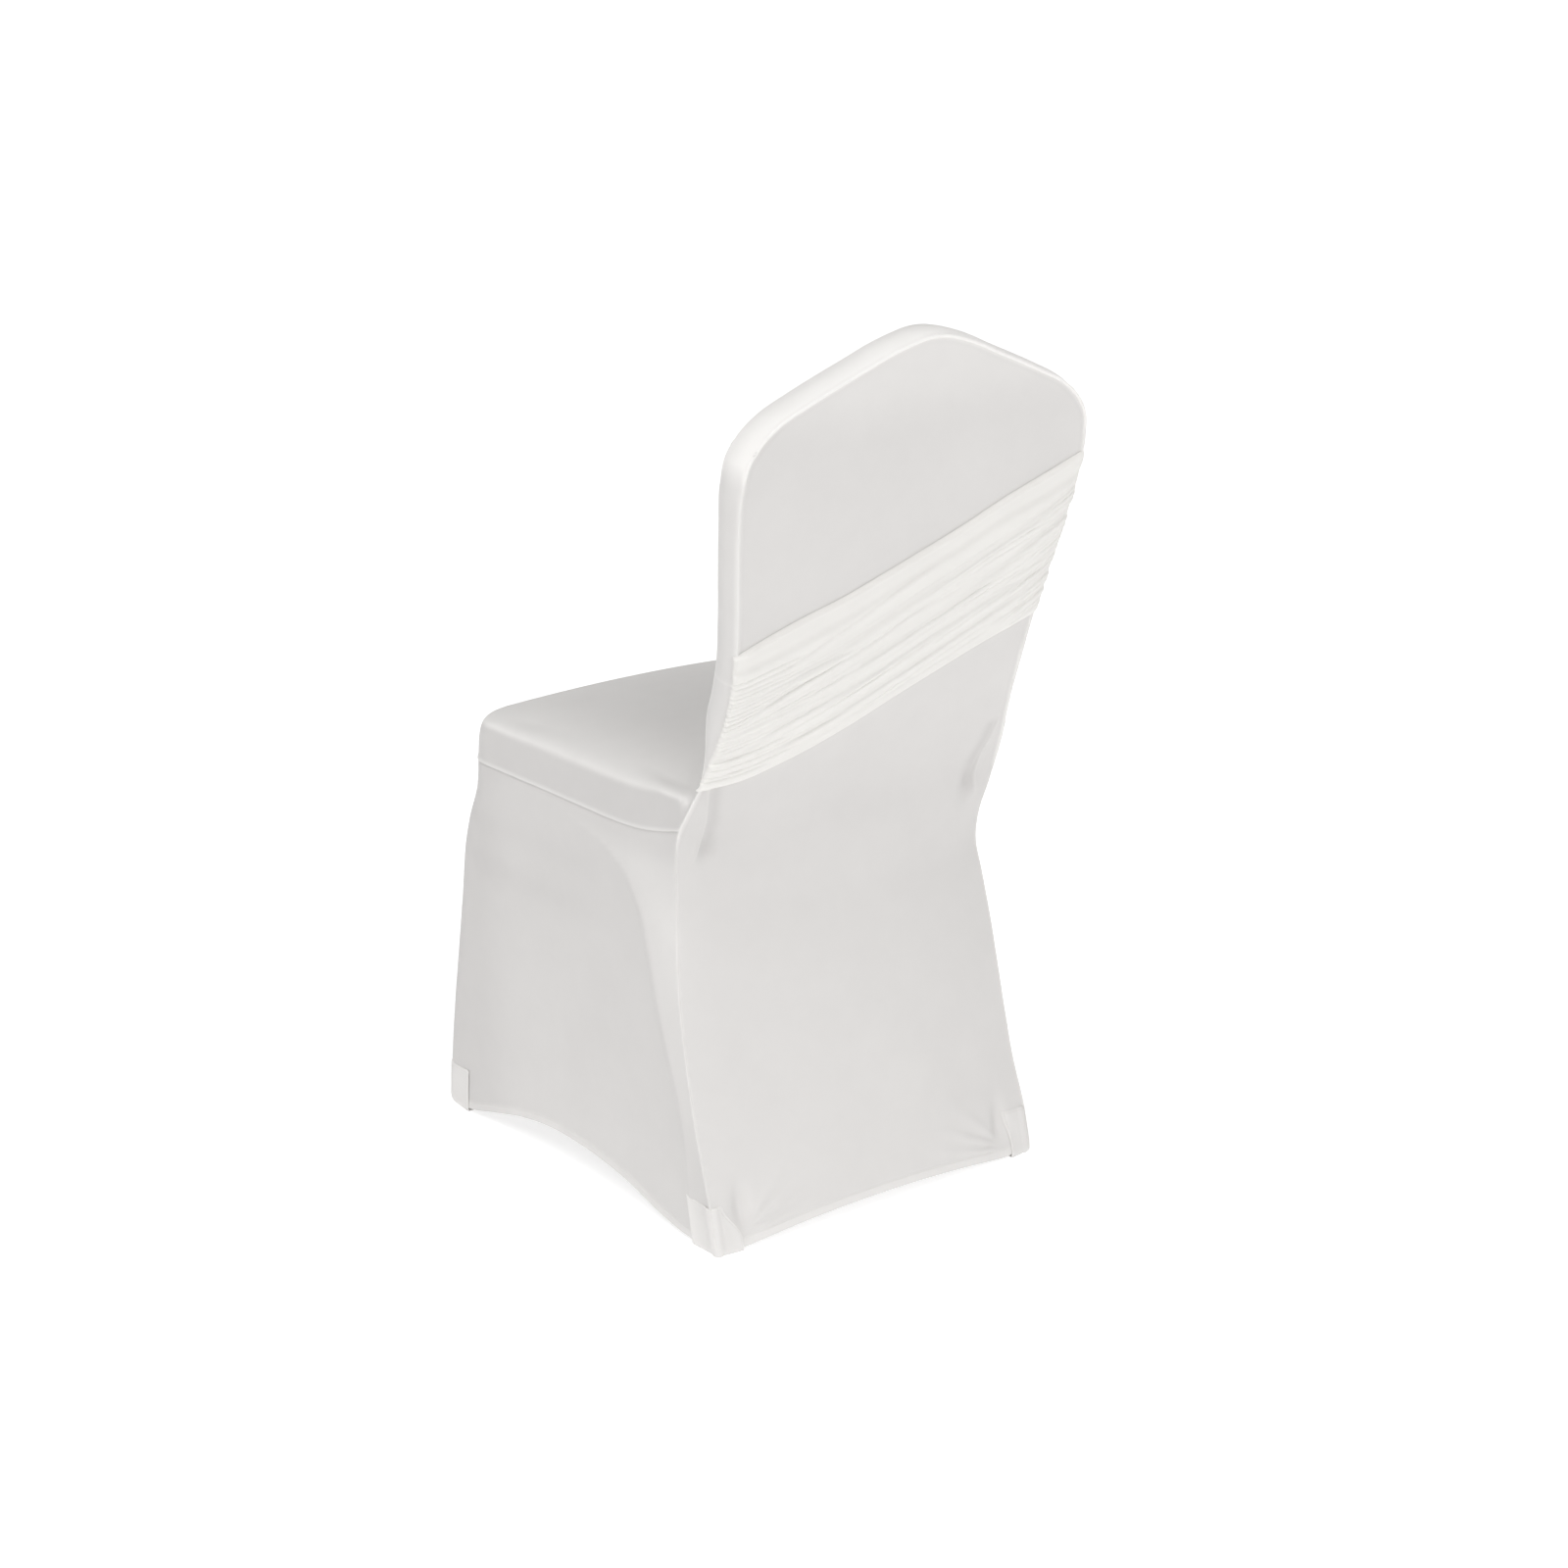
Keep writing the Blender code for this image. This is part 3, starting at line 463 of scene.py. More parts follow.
def sew_piece(name, net, material, node, shade, seam, ring=False, middle=None):
    """One cut piece of cloth from its net of points, seen from outside left to right, upwards.

    shade is a number for each point, and seam is (way along, distance) for each. The cloth map is
    the distance run along the middle row and up each column. With ring the rows close, and with
    middle the last one is filled in towards that point.
    """
    rows, count = net.shape[:2]
    points = net.reshape(-1, 3)
    across = np.linalg.norm(np.diff(net, axis=1), axis=-1).mean(axis=0)
    upwards = np.linalg.norm(np.diff(net, axis=0), axis=-1)
    u = np.broadcast_to(np.concatenate([[0], np.cumsum(across)]), (rows, count))
    v = np.concatenate([np.zeros((1, count)), np.cumsum(upwards, axis=0)])
    cloth_map = np.stack([u, v], axis=-1).reshape(-1, 2)
    seam_map = np.stack(seam, axis=-1).reshape(-1, 2)
    shades = np.broadcast_to(shade, (rows, count)).reshape(-1)
    spot = np.arange(rows * count).reshape(rows, count)
    if ring:
        spot = np.concatenate([spot, spot[:, :1]], axis=1)
    quads = np.stack([spot[:-1, :-1], spot[:-1, 1:], spot[1:, 1:], spot[1:, :-1]], axis=-1)
    faces = quads.reshape(-1, 4).tolist()
    if middle is not None:
        points = np.concatenate([points, [middle]])
        cloth_map = np.concatenate([cloth_map, [cloth_map[-count:].mean(axis=0)]])
        seam_map = np.concatenate([seam_map, [(0, 1)]])
        shades = np.concatenate([shades, [shades[-1]]])
        faces += [[a, b, rows * count] for a, b in zip(spot[-1, :-1], spot[-1, 1:])]
    mesh = bpy.data.meshes.new(name)
    mesh.from_pydata(points, [], faces)
    corner = np.empty(len(mesh.loops), np.int32)
    mesh.loops.foreach_get("vertex_index", corner)
    for label, values in (("cloth", cloth_map), ("seam", seam_map)):
        layer = mesh.uv_layers.new(name=label)
        layer.data.foreach_set("uv", values[corner].astype(np.float32).ravel())
    mesh.attributes.new("shade", "FLOAT", "POINT").data.foreach_set("value", shades.astype(np.float32))
    mesh.shade_smooth()
    beside = np.empty(len(mesh.loops), np.int32)
    mesh.loops.foreach_get("edge_index", beside)
    border = np.bincount(beside, minlength=len(mesh.edges)) == 1
    mesh.attributes.new("sharp_edge", "BOOLEAN", "EDGE").data.foreach_set("value", border)
    mesh.materials.append(material)
    piece = bpy.data.objects.new(name, mesh)
    bpy.context.scene.collection.objects.link(piece)
    wall = piece.modifiers.new("cloth_thickness", "SOLIDIFY")
    wall.thickness = CLOTH
    wall.offset = -1
    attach(piece, "root")
    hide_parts(node)


def steps(*stops):
    """Values from stop to stop: each stop after the first is (value, spacing up to it)."""
    runs = [np.array([stops[0]], float)]
    for value, spacing in stops[1:]:
        start = runs[-1][-1]
        runs.append(np.linspace(start, value, max(2, int(round((value - start) / spacing)) + 1))[1:])
    return np.concatenate(runs)


half_shares = steps(0, (0.5, 0.022), (0.82, 0.012), (0.93, 0.0032), (1.0, 0.005))
back_shares = np.concatenate([half_shares[::-1], -half_shares[1:]])
back_heights = steps(
    FLOOR_CLEAR,
    (0.020, 0.0012),
    (0.07, 0.0022),
    (0.38, 0.0050),
    (0.50, 0.0030),
    (0.80, 0.0048),
    (SHOULDER_HEIGHT, 0.0016),
)
hem_shape = FLOOR_CLEAR + BACK_ARCH * np.clip(1 - (back_shares / BACK_ARCH_SHARE) ** 2, 0, 1)
hem_shape = hem_shape + CORNER_LIFT * ease((np.abs(back_shares) - 0.84) / 0.16)
back = back_net(back_heights, back_shares, hem_shape)
waist_row = int(np.argmin(np.abs(back_heights - WAIST_TIP_HEIGHT)))
upper_edge = np.concatenate([back[waist_row:, 0], back[-1, 1:-1], back[waist_row:, -1][::-1]])
corner_left, corner_right = back[: waist_row + 1, 0], back[: waist_row + 1, -1]
from_upper, _ = from_line(back, upper_edge)
from_corner = np.minimum(from_line(back, corner_left)[0], from_line(back, corner_right)[0])
from_hem, along_hem = from_line(back, back[0])
hem_inside = ease((0.80 - np.abs(back_shares)) / 0.10)
relief = seam_ridge(from_corner, 0.0013, 0.0004) - 0.0003 * bump((from_upper - 0.0046) / 0.0016)
relief = relief + 0.0007 * ease((HEM_WIDTH - from_hem) / HEM_EDGE) * hem_inside
inwards, above = STREAK_X - np.abs(back[..., 0]), back[..., 2] - STREAK_Z
away, lean = np.hypot(inwards, above), np.arctan2(above, inwards)
for turned, wide, height in FOOT_STREAKS:
    fades = ease((away - 0.018) / 0.02) * (1 - ease((away - 0.04) / 0.10))
    relief = relief + height * bump((lean - turned) / wide) * fades
back = back + outwards(back) * relief[..., None]
# Whiter doubled cloth along the upper seam, the corner seams and the hem, and painted shade in the dent
# beside the upper seam.
shade = 0.32 + 0.36 * bump(from_upper / 0.0036) - 0.06 * bump((from_upper - 0.0060) / 0.0020)
shade = shade + 0.22 * bump(from_corner / 0.0016) + 0.18 * ease((WHITE_WIDTH - from_hem) / WHITE_EDGE)
# A painted highlight on the post's ridge and painted shade in the hollow inside it.
off_post = np.abs(back[..., 0]) - column(POST_LINE, 1, back[..., 2])
at_post = ease((back[..., 2] - POST_LINE[0, 0]) / 0.02) * ease((POST_LINE[-1, 0] - back[..., 2]) / 0.01)
shade = shade + at_post * (0.18 * bump(off_post / 0.0012) - 0.24 * bump((off_post + 0.009) / 0.008))
# Painted light over the crown, and painted shade across the back at the height of the seat.
shade = shade + 0.18 * ease((back[..., 2] - 0.82) / 0.06) - 0.08 * bump((back[..., 2] - 0.42) / 0.08)
sew_piece(
    "outer_back",
    back,
    cover_cloth,
    "back_panel",
    shade,
    (along_hem, from_hem),
)

# The inner back is the same knit over the front of the padding, which swells a little between
# its edges. It runs down behind the seat, where it is sewn to the seat piece.
BACK_THICKNESS, PADDED_THICKNESS, WAIST_THICKNESS, SHOULDER_EXTRA = 0.030, 0.043, 0.003, 0.0045
CROWN_LEAN, CROWN_BLEND, INNER_FOOT_DIP = 0.15, 0.036, 0.026


def forwards(z):
    """Unit vectors out of the backrest's plane towards the sitter, from the slope of its seam."""
    gap = 0.004
    slope = (column(REAR_SEAM, 2, z + gap) - column(REAR_SEAM, 2, z - gap)) / (2 * gap)
    slope = slope + (CROWN_LEAN - slope) * ease((z - SHOULDER_HEIGHT + CROWN_BLEND) / CROWN_BLEND)
    length = np.sqrt(1 + slope**2)
    return np.stack([0 * slope, -1 / length, slope / length], axis=-1)


def edge_thickness(z):
    """Thickness of the backrest's edge: thin at the waist, full above it, a little more on top."""
    full = ease((z - WAIST_TIP_HEIGHT + 0.003) / 0.07)
    top = SHOULDER_EXTRA * ease((z - SHOULDER_HEIGHT + 0.09) / 0.09)
    return WAIST_THICKNESS + (BACK_THICKNESS - WAIST_THICKNESS) * full + top


def inner_back_net(heights, shares):
    """The outer back's net moved forwards by the padding, which is 1 - |share|^3 fuller inside."""
    net = back_net(heights, shares, foot=heights[0] - INNER_FOOT_DIP * (1 - np.abs(shares) ** 5))
    side = np.asarray(heights)[:, None]
    edge = edge_thickness(side)
    net[..., 1] = column(REAR_SEAM, 2, net[..., 2])
    top = ease((SHOULDER_HEIGHT - side) / 0.10)
    pad = (PADDED_THICKNESS - edge) * (1 - np.abs(shares) ** 3) * top
    return net + forwards(net[..., 2]) * (edge + pad)[..., None]


inner_heights = steps(
    WAIST_TIP_HEIGHT, (0.50, 0.002), (0.80, 0.0038), (0.8145, 0.0020), (SHOULDER_HEIGHT, 0.0010)
)
inner = inner_back_net(inner_heights, back_shares)[:, ::-1]
inner_edge = np.concatenate([inner[:, 0], inner[-1, 1:-1], inner[::-1, -1]])
from_edge, along_edge = from_line(inner, inner_edge)
inner = inner - outwards(inner) * (0.0003 * bump((from_edge - 0.0046) / 0.0016))[..., None]
sew_piece(
    "inner_back",
    inner,
    cover_cloth,
    "inner_back_panel",
    0.42 + 0.38 * bump(from_edge / 0.0040),
    (along_edge, from_edge),
)

# The boxing strip joins the outer and inner back round the edge, from waist to waist. It is
# rounded by the padding, has one cross seam on each side, and rolls over both seams as a cord.
BOXING_BULGE, CROWN_BULGE = 0.0055, 0.0035
SEAM_CORD, CORD_BITE, CROSS_SEAM_AT = 0.0019, 0.48, 0.115
# Added to the seam map's distance where no row of stitches is wanted
NO_STITCHES = 0.05
boxing_heights = steps(WAIST_TIP_HEIGHT, (0.80, 0.0028), (SHOULDER_HEIGHT, 0.0018))
boxing_shares = np.linspace(1, -1, 170)
whole = back_net(boxing_heights, boxing_shares)
edge = np.concatenate([whole[:, 0], whole[-1, 1:-1], whole[::-1, -1]])
ahead = forwards(edge[:, 2])
out = np.cross(np.gradient(edge, axis=0), ahead)
out = np.stack(
    [np.convolve(np.pad(out[:, k], 8, "edge"), np.ones(17), "valid") for k in range(3)], axis=1
)
out /= np.linalg.norm(out, axis=1)[:, None]
out *= np.sign((out * (edge - edge.mean(axis=0))).sum(axis=1))[:, None]
deep = edge_thickness(np.minimum(edge[:, 2], SHOULDER_HEIGHT))
over_crown = ease((edge[:, 2] - SHOULDER_HEIGHT + CROWN_BLEND) / CROWN_BLEND)
round_off = BOXING_BULGE + (CROWN_BULGE - BOXING_BULGE) * over_crown
round_off = round_off * np.minimum(1, (deep - 2 * CLOTH) / (BACK_THICKNESS - 2 * CLOTH))
run = np.concatenate([[0], np.cumsum(np.linalg.norm(np.diff(edge, axis=0), axis=1))])
cord = SEAM_CORD * np.minimum(1, deep / 0.020)
turn = np.radians(np.linspace(168, 28, 12))[:, None]
way = np.linspace(0.06, 0.94, 21)[:, None]
depth = CORD_BITE * cord - cord * np.sin(turn)
rise = cord * (np.cos(turn) - CORD_BITE)
cross_seam = np.minimum(np.abs(run - CROSS_SEAM_AT), np.abs(run - run[-1] + CROSS_SEAM_AT))
strip_rise = round_off * 4 * way * (1 - way) + 0.0004 * bump(cross_seam / 0.0018)
depth, rise = (
    np.concatenate([depth, deep * way, (deep - depth)[::-1]]),
    np.concatenate([rise, strip_rise, rise[::-1]]),
)
to_seam = np.minimum(depth, deep - depth)
boxing = edge[None] + ahead[None] * depth[..., None] + out[None] * rise[..., None]
# Whiter doubled cloth at the cords and the cross seams, and painted light over the crown, where it faces
# the light.
sew_piece(
    "back_boxing_strip",
    boxing,
    cover_cloth,
    "back_boxing",
    0.43 + 0.74 * over_crown + 0.30 * bump(to_seam / 0.0024) + 0.15 * bump(cross_seam / 0.002),
    (np.broadcast_to(run, rise.shape), to_seam + NO_STITCHES),
)

# The seat piece is drawn over the padded seat and rolls down its sides to a seam. At each rear
# corner an ear of it runs up beside the back to the waist, where the boxing ends.
SEAM_HEIGHTS = np.array(
    [
        # share of the side from back to front, height
        (0.00, 0.4340),
        (0.07, 0.4271),
        (0.12, 0.4233),
        (0.18, 0.4198),
        (0.26, 0.4178),
        (0.50, 0.4176),
        (1.00, 0.4186),
    ]
)
SEAT_TOP, SEAT_EDGE_HEIGHT, SEAT_ROLL, SEAT_MIDDLE_Y = 0.4835, 0.4700, 0.035, -0.035
SEAT_HALF_WIDTH, SEAT_HALF_DEPTH = 0.21, 0.20
SEAT_CROWN_ACROSS, SEAT_CROWN_FRONT, SEAT_CROWN_REAR, SEAT_SIDE_FALL = 0.0095, 0.010, 0.0055, 0.016
SEAT_DROP, EDGE_SHARPNESS = 0.0455, 2.7
CREASE_POINTS, EAR_TIP = 46, 0.188
EAR_EDGE = np.array(
    [
        # height, inset from the side seam, distance before the outer back, roll over the edge
        (0.4490, 0.0000, 0.0004, 0.75),
        (0.4650, 0.0000, 0.0004, 0.35),
        (0.4795, 0.0003, 0.0008, 0.05),
        (0.4860, 0.0030, 0.0040, 0.00),
    ]
)
FRONT_CORNER = np.array(
    [
        # height, half width, depth, radius, bow
        (0.000, 0.2115, 0.2930, 0.0220, -0.0060),
        (0.050, 0.2120, 0.2890, 0.0230, -0.0050),
        (0.114, 0.2125, 0.2820, 0.0260, -0.0040),
        (0.187, 0.2125, 0.2725, 0.0300, -0.0030),
        (0.260, 0.2125, 0.2630, 0.0340, -0.0010),
        (0.320, 0.2125, 0.2562, 0.0380, 0.0020),
        (0.347, 0.2125, 0.2497, 0.0410, 0.0040),
        (0.385, 0.2125, 0.2356, 0.0440, 0.0070),
        (0.418, 0.2125, 0.2325, 0.0450, 0.0080),
        (0.440, 0.2125, 0.2325, 0.0450, 0.0080),
    ]
)
LEG_LINE = np.array(
    [
        # height, y of the rear leg's front edge under the cloth
        (0.000, 0.172),
        (0.050, 0.167),
        (0.103, 0.160),
        (0.155, 0.147),
        (0.197, 0.131),
        (0.242, 0.115),
        (0.297, 0.099),
        (0.347, 0.078),
        (0.375, 0.048),
        (0.391, 0.011),
        (0.402, -0.040),
        (0.440, -0.100),
    ]
)
LEG_FACE, SIDE_SAG = 0.2095, 0.0045
# Shares of the way round the wrap, from the rear seam to the middle of the front
SIDE_ENDS, CORNER_ENDS = 0.5, 0.625


def wrap_section(way, z):
    """x and y of the wrap's left half at a height: way runs from the rear seam to the mid front.

    The side is a sine rise over the rear leg, then a straight run that sags by 4 t (1 - t). The
    corner is a quarter circle, and the front bows by 1 - (1 - t)^2.
    """
    rear_x = column(REAR_SEAM, 1, z)
    rear_y = column(REAR_SEAM, 2, z) - 0.0004
    wide, deep, radius, bow = (column(FRONT_CORNER, k, z) for k in (1, 2, 3, 4))
    leg_y = np.minimum(column(LEG_LINE, 1, z), rear_y - 0.02)
    side_end = radius - deep
    y_side = rear_y + (side_end - rear_y) * np.clip(way / SIDE_ENDS, 0, 1)
    on_leg = np.clip((rear_y - y_side) / (rear_y - leg_y), 0, 1)
    free = np.clip((leg_y - y_side) / np.maximum(leg_y - side_end, 0.05), 0, 1)
    x_side = rear_x + (LEG_FACE - rear_x) * np.sin(on_leg * np.pi / 2) + (wide - LEG_FACE) * free
    low = ease((0.42 - z) / 0.12)
    x_side = x_side - low * SIDE_SAG * 4 * free * (1 - free)
    x_side = x_side - low * 0.0019 * ease((leg_y - y_side) / 0.009) * (1 - free) ** 2
    turn = np.clip((way - SIDE_ENDS) / (CORNER_ENDS - SIDE_ENDS), 0, 1) * np.pi / 2
    across = np.clip((way - CORNER_ENDS) / (1 - CORNER_ENDS), 0, 1)
    x_turn, y_turn = wide - radius + radius * np.cos(turn), side_end - radius * np.sin(turn)
    x_front, y_front = (wide - radius) * (1 - across), -deep - bow * (1 - (1 - across) ** 2)
    x = np.where(way < SIDE_ENDS, x_side, np.where(way < CORNER_ENDS, x_turn, x_front))
    y = np.where(way < SIDE_ENDS, y_side, np.where(way < CORNER_ENDS, y_turn, y_front))
    return x, y


def seam_height(way):
    """Height of the seat seam, read along the side and level across the front."""
    return column(SEAM_HEIGHTS, 1, np.clip(way / SIDE_ENDS, 0, 1))


def seat_height(x, y):
    """Height of the seat's top: a low crown, less by the squares of the shares of x and of y.

    Between the front corners and the ears the sixth power of x lets it run down into the sides.
    """
    across = SEAT_CROWN_ACROSS * (x / SEAT_HALF_WIDTH) ** 2
    behind, before = ease((y + 0.22) / 0.09), ease((0.185 - y) / 0.10)
    across = across + SEAT_SIDE_FALL * (x / SEAT_HALF_WIDTH) ** 6 * behind * before
    along = np.where(y > SEAT_MIDDLE_Y, SEAT_CROWN_REAR, SEAT_CROWN_FRONT)
    return SEAT_TOP - across - along * ((y - SEAT_MIDDLE_Y) / SEAT_HALF_DEPTH) ** 2


side_ways = steps(0, (0.03, 0.004), (SIDE_ENDS, 0.0085), (CORNER_ENDS, 0.0125), (1.0, 0.016))
seam_z = seam_height(side_ways)
seam_x, seam_y = wrap_section(side_ways, seam_z)
seam_line = np.stack([seam_x, seam_y, seam_z], axis=1)
ear_z = np.linspace(EAR_EDGE[-1, 0], EAR_EDGE[0, 0], 18)
ear_line = np.stack(
    [
        column(REAR_SEAM, 1, ear_z) - column(EAR_EDGE, 1, ear_z),
        column(REAR_SEAM, 2, ear_z) - column(EAR_EDGE, 2, ear_z),
        ear_z,
    ],
    axis=1,
)
crease_shares = np.linspace(0, 0.90, CREASE_POINTS)
crease_line = inner_back_net(inner_heights, crease_shares)[0] + (0, 0.7 * CLOTH, -0.0012)
left_rim = np.concatenate([crease_line, ear_line, seam_line])
left_roll = np.concatenate([0 * crease_shares, column(EAR_EDGE, 3, ear_z), np.ones(len(seam_line))])
rim = np.concatenate([left_rim, left_rim[1:-1][::-1] * (-1, 1, 1)])
roll = np.concatenate([left_roll, left_roll[1:-1][::-1]])
middle = np.array([0, SEAT_MIDDLE_Y, SEAT_TOP])
spoke = rim - middle
reach = np.linalg.norm(spoke[:, :2], axis=1)[:, None]
inside = middle + spoke * (1 - SEAT_ROLL / reach)
inside[:, 2] = seat_height(inside[:, 0], inside[:, 1])
brink = middle + spoke * (1 - 0.002 / reach)
brink[:, 2] = np.minimum(rim[:, 2] + SEAT_DROP, SEAT_EDGE_HEIGHT)
bend = (inside + rim) / 2
bend = bend + (brink - bend) * roll[:, None]
t = steps(0, (0.14, 0.02), (1, 0.055))[:, None, None]
pull = 2 * t * (1 - t) * (1 + (EDGE_SHARPNESS - 1) * roll[:, None])
drop = ((1 - t) ** 2 * rim + pull * bend + t * t * inside) / ((1 - t) ** 2 + pull + t * t)
share = np.linspace(1, 0.04, 42)[1:, None, None]
top = middle + (inside - middle) * share
top[..., 2] = seat_height(top[..., 0], top[..., 1])
seat = np.concatenate([drop, top])[:, ::-1]
from_rim, along_rim = from_line(seat, np.concatenate([seam_line, seam_line[::-1] * (-1, 1, 1)]))
from_ear = np.minimum(from_line(seat, ear_line)[0], from_line(seat, ear_line * (-1, 1, 1))[0])
facing_up = ease((outwards(seat, ring=True)[..., 2] - 0.28) / 0.44)
relief = seam_ridge(from_rim, 0.0016, 0.0010) + seam_ridge(from_ear, 0.0011, 0.0004)
seat = seat + outwards(seat, ring=True) * relief[..., None]
# Painted light: the colour follows the cloth's slope, lighter where it faces up and darker down the drop,
# a little lighter near the edge, with painted shade round each ear's tip. The seam and the ears' edges
# are whiter doubled cloth.
to_ear_tip = np.hypot(np.abs(seat[..., 0]) - EAR_TIP, seat[..., 1] - EAR_TIP)
painted_top_light = 0.54 + 0.10 * ease((0.12 - from_rim) / 0.07) - 0.34 * bump(to_ear_tip / 0.030)
shade = 0.12 + facing_up * painted_top_light
shade = shade + 0.50 * bump(from_rim / 0.0018) + 0.34 * bump(from_ear / 0.0014)
sew_piece(
    "seat_top",
    seat,
    cover_cloth,
    "seat_panel",
    shade,
    (along_rim, from_rim + NO_STITCHES),
    ring=True,
    middle=middle,
)

# The wrap hangs from the seat seam round both sides and the front, stretched over the legs, with
# its hem drawn up in an arch between the feet. The rear leg's edge shows through as a soft line.
SIDE_HEM = np.array(
    [
        # y, height
        (-0.2900, 0.0122),
        (-0.2700, 0.0085),
        (-0.2520, 0.0036),
        (-0.2360, 0.0052),
        (-0.1985, 0.0145),
        (-0.1400, 0.0285),
        (-0.0840, 0.0355),
        (-0.0280, 0.0350),
        (0.0510, 0.0260),
        (0.1290, 0.0080),
        (0.1650, 0.0042),
        (0.1900, 0.0070),
        (0.2170, 0.0122),
    ]
)
FRONT_ARCH = 0.030
FOOT_X, REAR_FOOT_Y, FRONT_FOOT_Y = 0.2115, 0.217, -0.293


def hem_height(way):
    """Height of the wrap's hem: a table along the side, then a sine arch across the front."""
    _, y = wrap_section(way, np.zeros_like(way))
    toe = SIDE_HEM[0, 1] - CORNER_LIFT * ease((way - 0.64) / 0.10)
    across = np.clip((way - 0.66) / 0.34, 0, 1)
    front = toe + FRONT_ARCH * np.sin(across * np.pi / 2) ** 1.4
    return np.where(way < SIDE_ENDS, column(SIDE_HEM, 1, y), front)


wrap_ways = steps(0, (0.012, 0.0015), (SIDE_ENDS, 0.0052), (CORNER_ENDS, 0.0105), (1.0, 0.0105))
wrap_levels = steps(0, (0.03, 0.0035), (0.97, 0.0105), (1.0, 0.0030))[:, None]
hem, seam_top = hem_height(wrap_ways), seam_height(wrap_ways) - 0.0001
z = hem + (seam_top - hem) * wrap_levels
x, y = wrap_section(wrap_ways, z)
half = np.stack([x, y, z], axis=-1)
leg_edge = y - column(LEG_LINE, 1, z)
wrap = np.concatenate([half, (half * (-1, 1, 1))[:, ::-1][:, 1:]], axis=1)[:, ::-1]
from_hem, along_hem = from_line(wrap, wrap[0])
from_top, _ = from_line(wrap, wrap[-1])
from_rear = np.minimum(from_line(wrap, wrap[:, 0])[0], from_line(wrap, wrap[:, -1])[0])
on_side = np.concatenate([leg_edge, leg_edge[:, ::-1][:, 1:]], axis=1)[:, ::-1]
low = ease((0.41 - wrap[..., 2]) / 0.03)
to_foot = np.minimum(
    np.hypot(np.abs(wrap[..., 0]) - FOOT_X, wrap[..., 1] - REAR_FOOT_Y),
    np.hypot(np.abs(wrap[..., 0]) - FOOT_X, wrap[..., 1] - FRONT_FOOT_Y),
)
relief = seam_ridge(from_rear, 0.0013, 0.0005) - 0.0004 * bump(from_top / 0.0020)
relief = relief + 0.0008 * ease((HEM_WIDTH - from_hem) / HEM_EDGE) * ease((to_foot - 0.046) / 0.010)
relief = relief + 0.0007 * low * bump((on_side - 0.004) / 0.004)
wrap = wrap + outwards(wrap) * relief[..., None]
over_leg = ease((on_side + 0.004) / 0.012) * low
# Painted shadow along the sides below the seat's rails, in two soft dark bands.
rail_shadow = bump((wrap[..., 2] - 0.303) / 0.018) + 0.6 * bump((wrap[..., 2] - 0.352) / 0.014)
rail_shadow = rail_shadow * ease((0.04 - wrap[..., 1]) / 0.08) * ease((wrap[..., 1] + 0.23) / 0.03)
shade = 0.24 + over_leg * (0.17 - 0.20 * ease((0.20 - wrap[..., 2]) / 0.16)) - 0.085 * rail_shadow
shade = shade + 0.10 * bump(from_top / 0.0016) + 0.34 * bump(from_rear / 0.0018)
shade = shade + 0.18 * ease((WHITE_WIDTH - from_hem) / WHITE_EDGE)
# Painted shade towards the front corners, where the cloth turns away from the light.
shade = shade - 0.18 * ease((-0.13 - wrap[..., 1]) / 0.09)
sew_piece(
    "skirt_wrap",
    wrap,
    cover_cloth,
    "skirt",
    shade,
    (along_hem, from_hem),
)

# The band is a second length of knit across the outer back, caught in both side seams. Gathers at
# its two ends make it fall in lengthwise folds: broad along the top, fine in the middle.
BAND_EDGES = np.array(
    [
        # x, top height, bottom height
        (-0.2130, 0.7760, 0.6134),
        (-0.1700, 0.7605, 0.5988),
        (-0.1160, 0.7412, 0.5815),
        (-0.0670, 0.7204, 0.5629),
        (-0.0180, 0.7015, 0.5428),
        (0.0300, 0.6833, 0.5205),
        (0.0750, 0.6666, 0.5025),
        (0.1110, 0.6558, 0.4910),
        (0.1480, 0.6433, 0.4817),
        (0.1930, 0.6251, 0.4790),
    ]
)
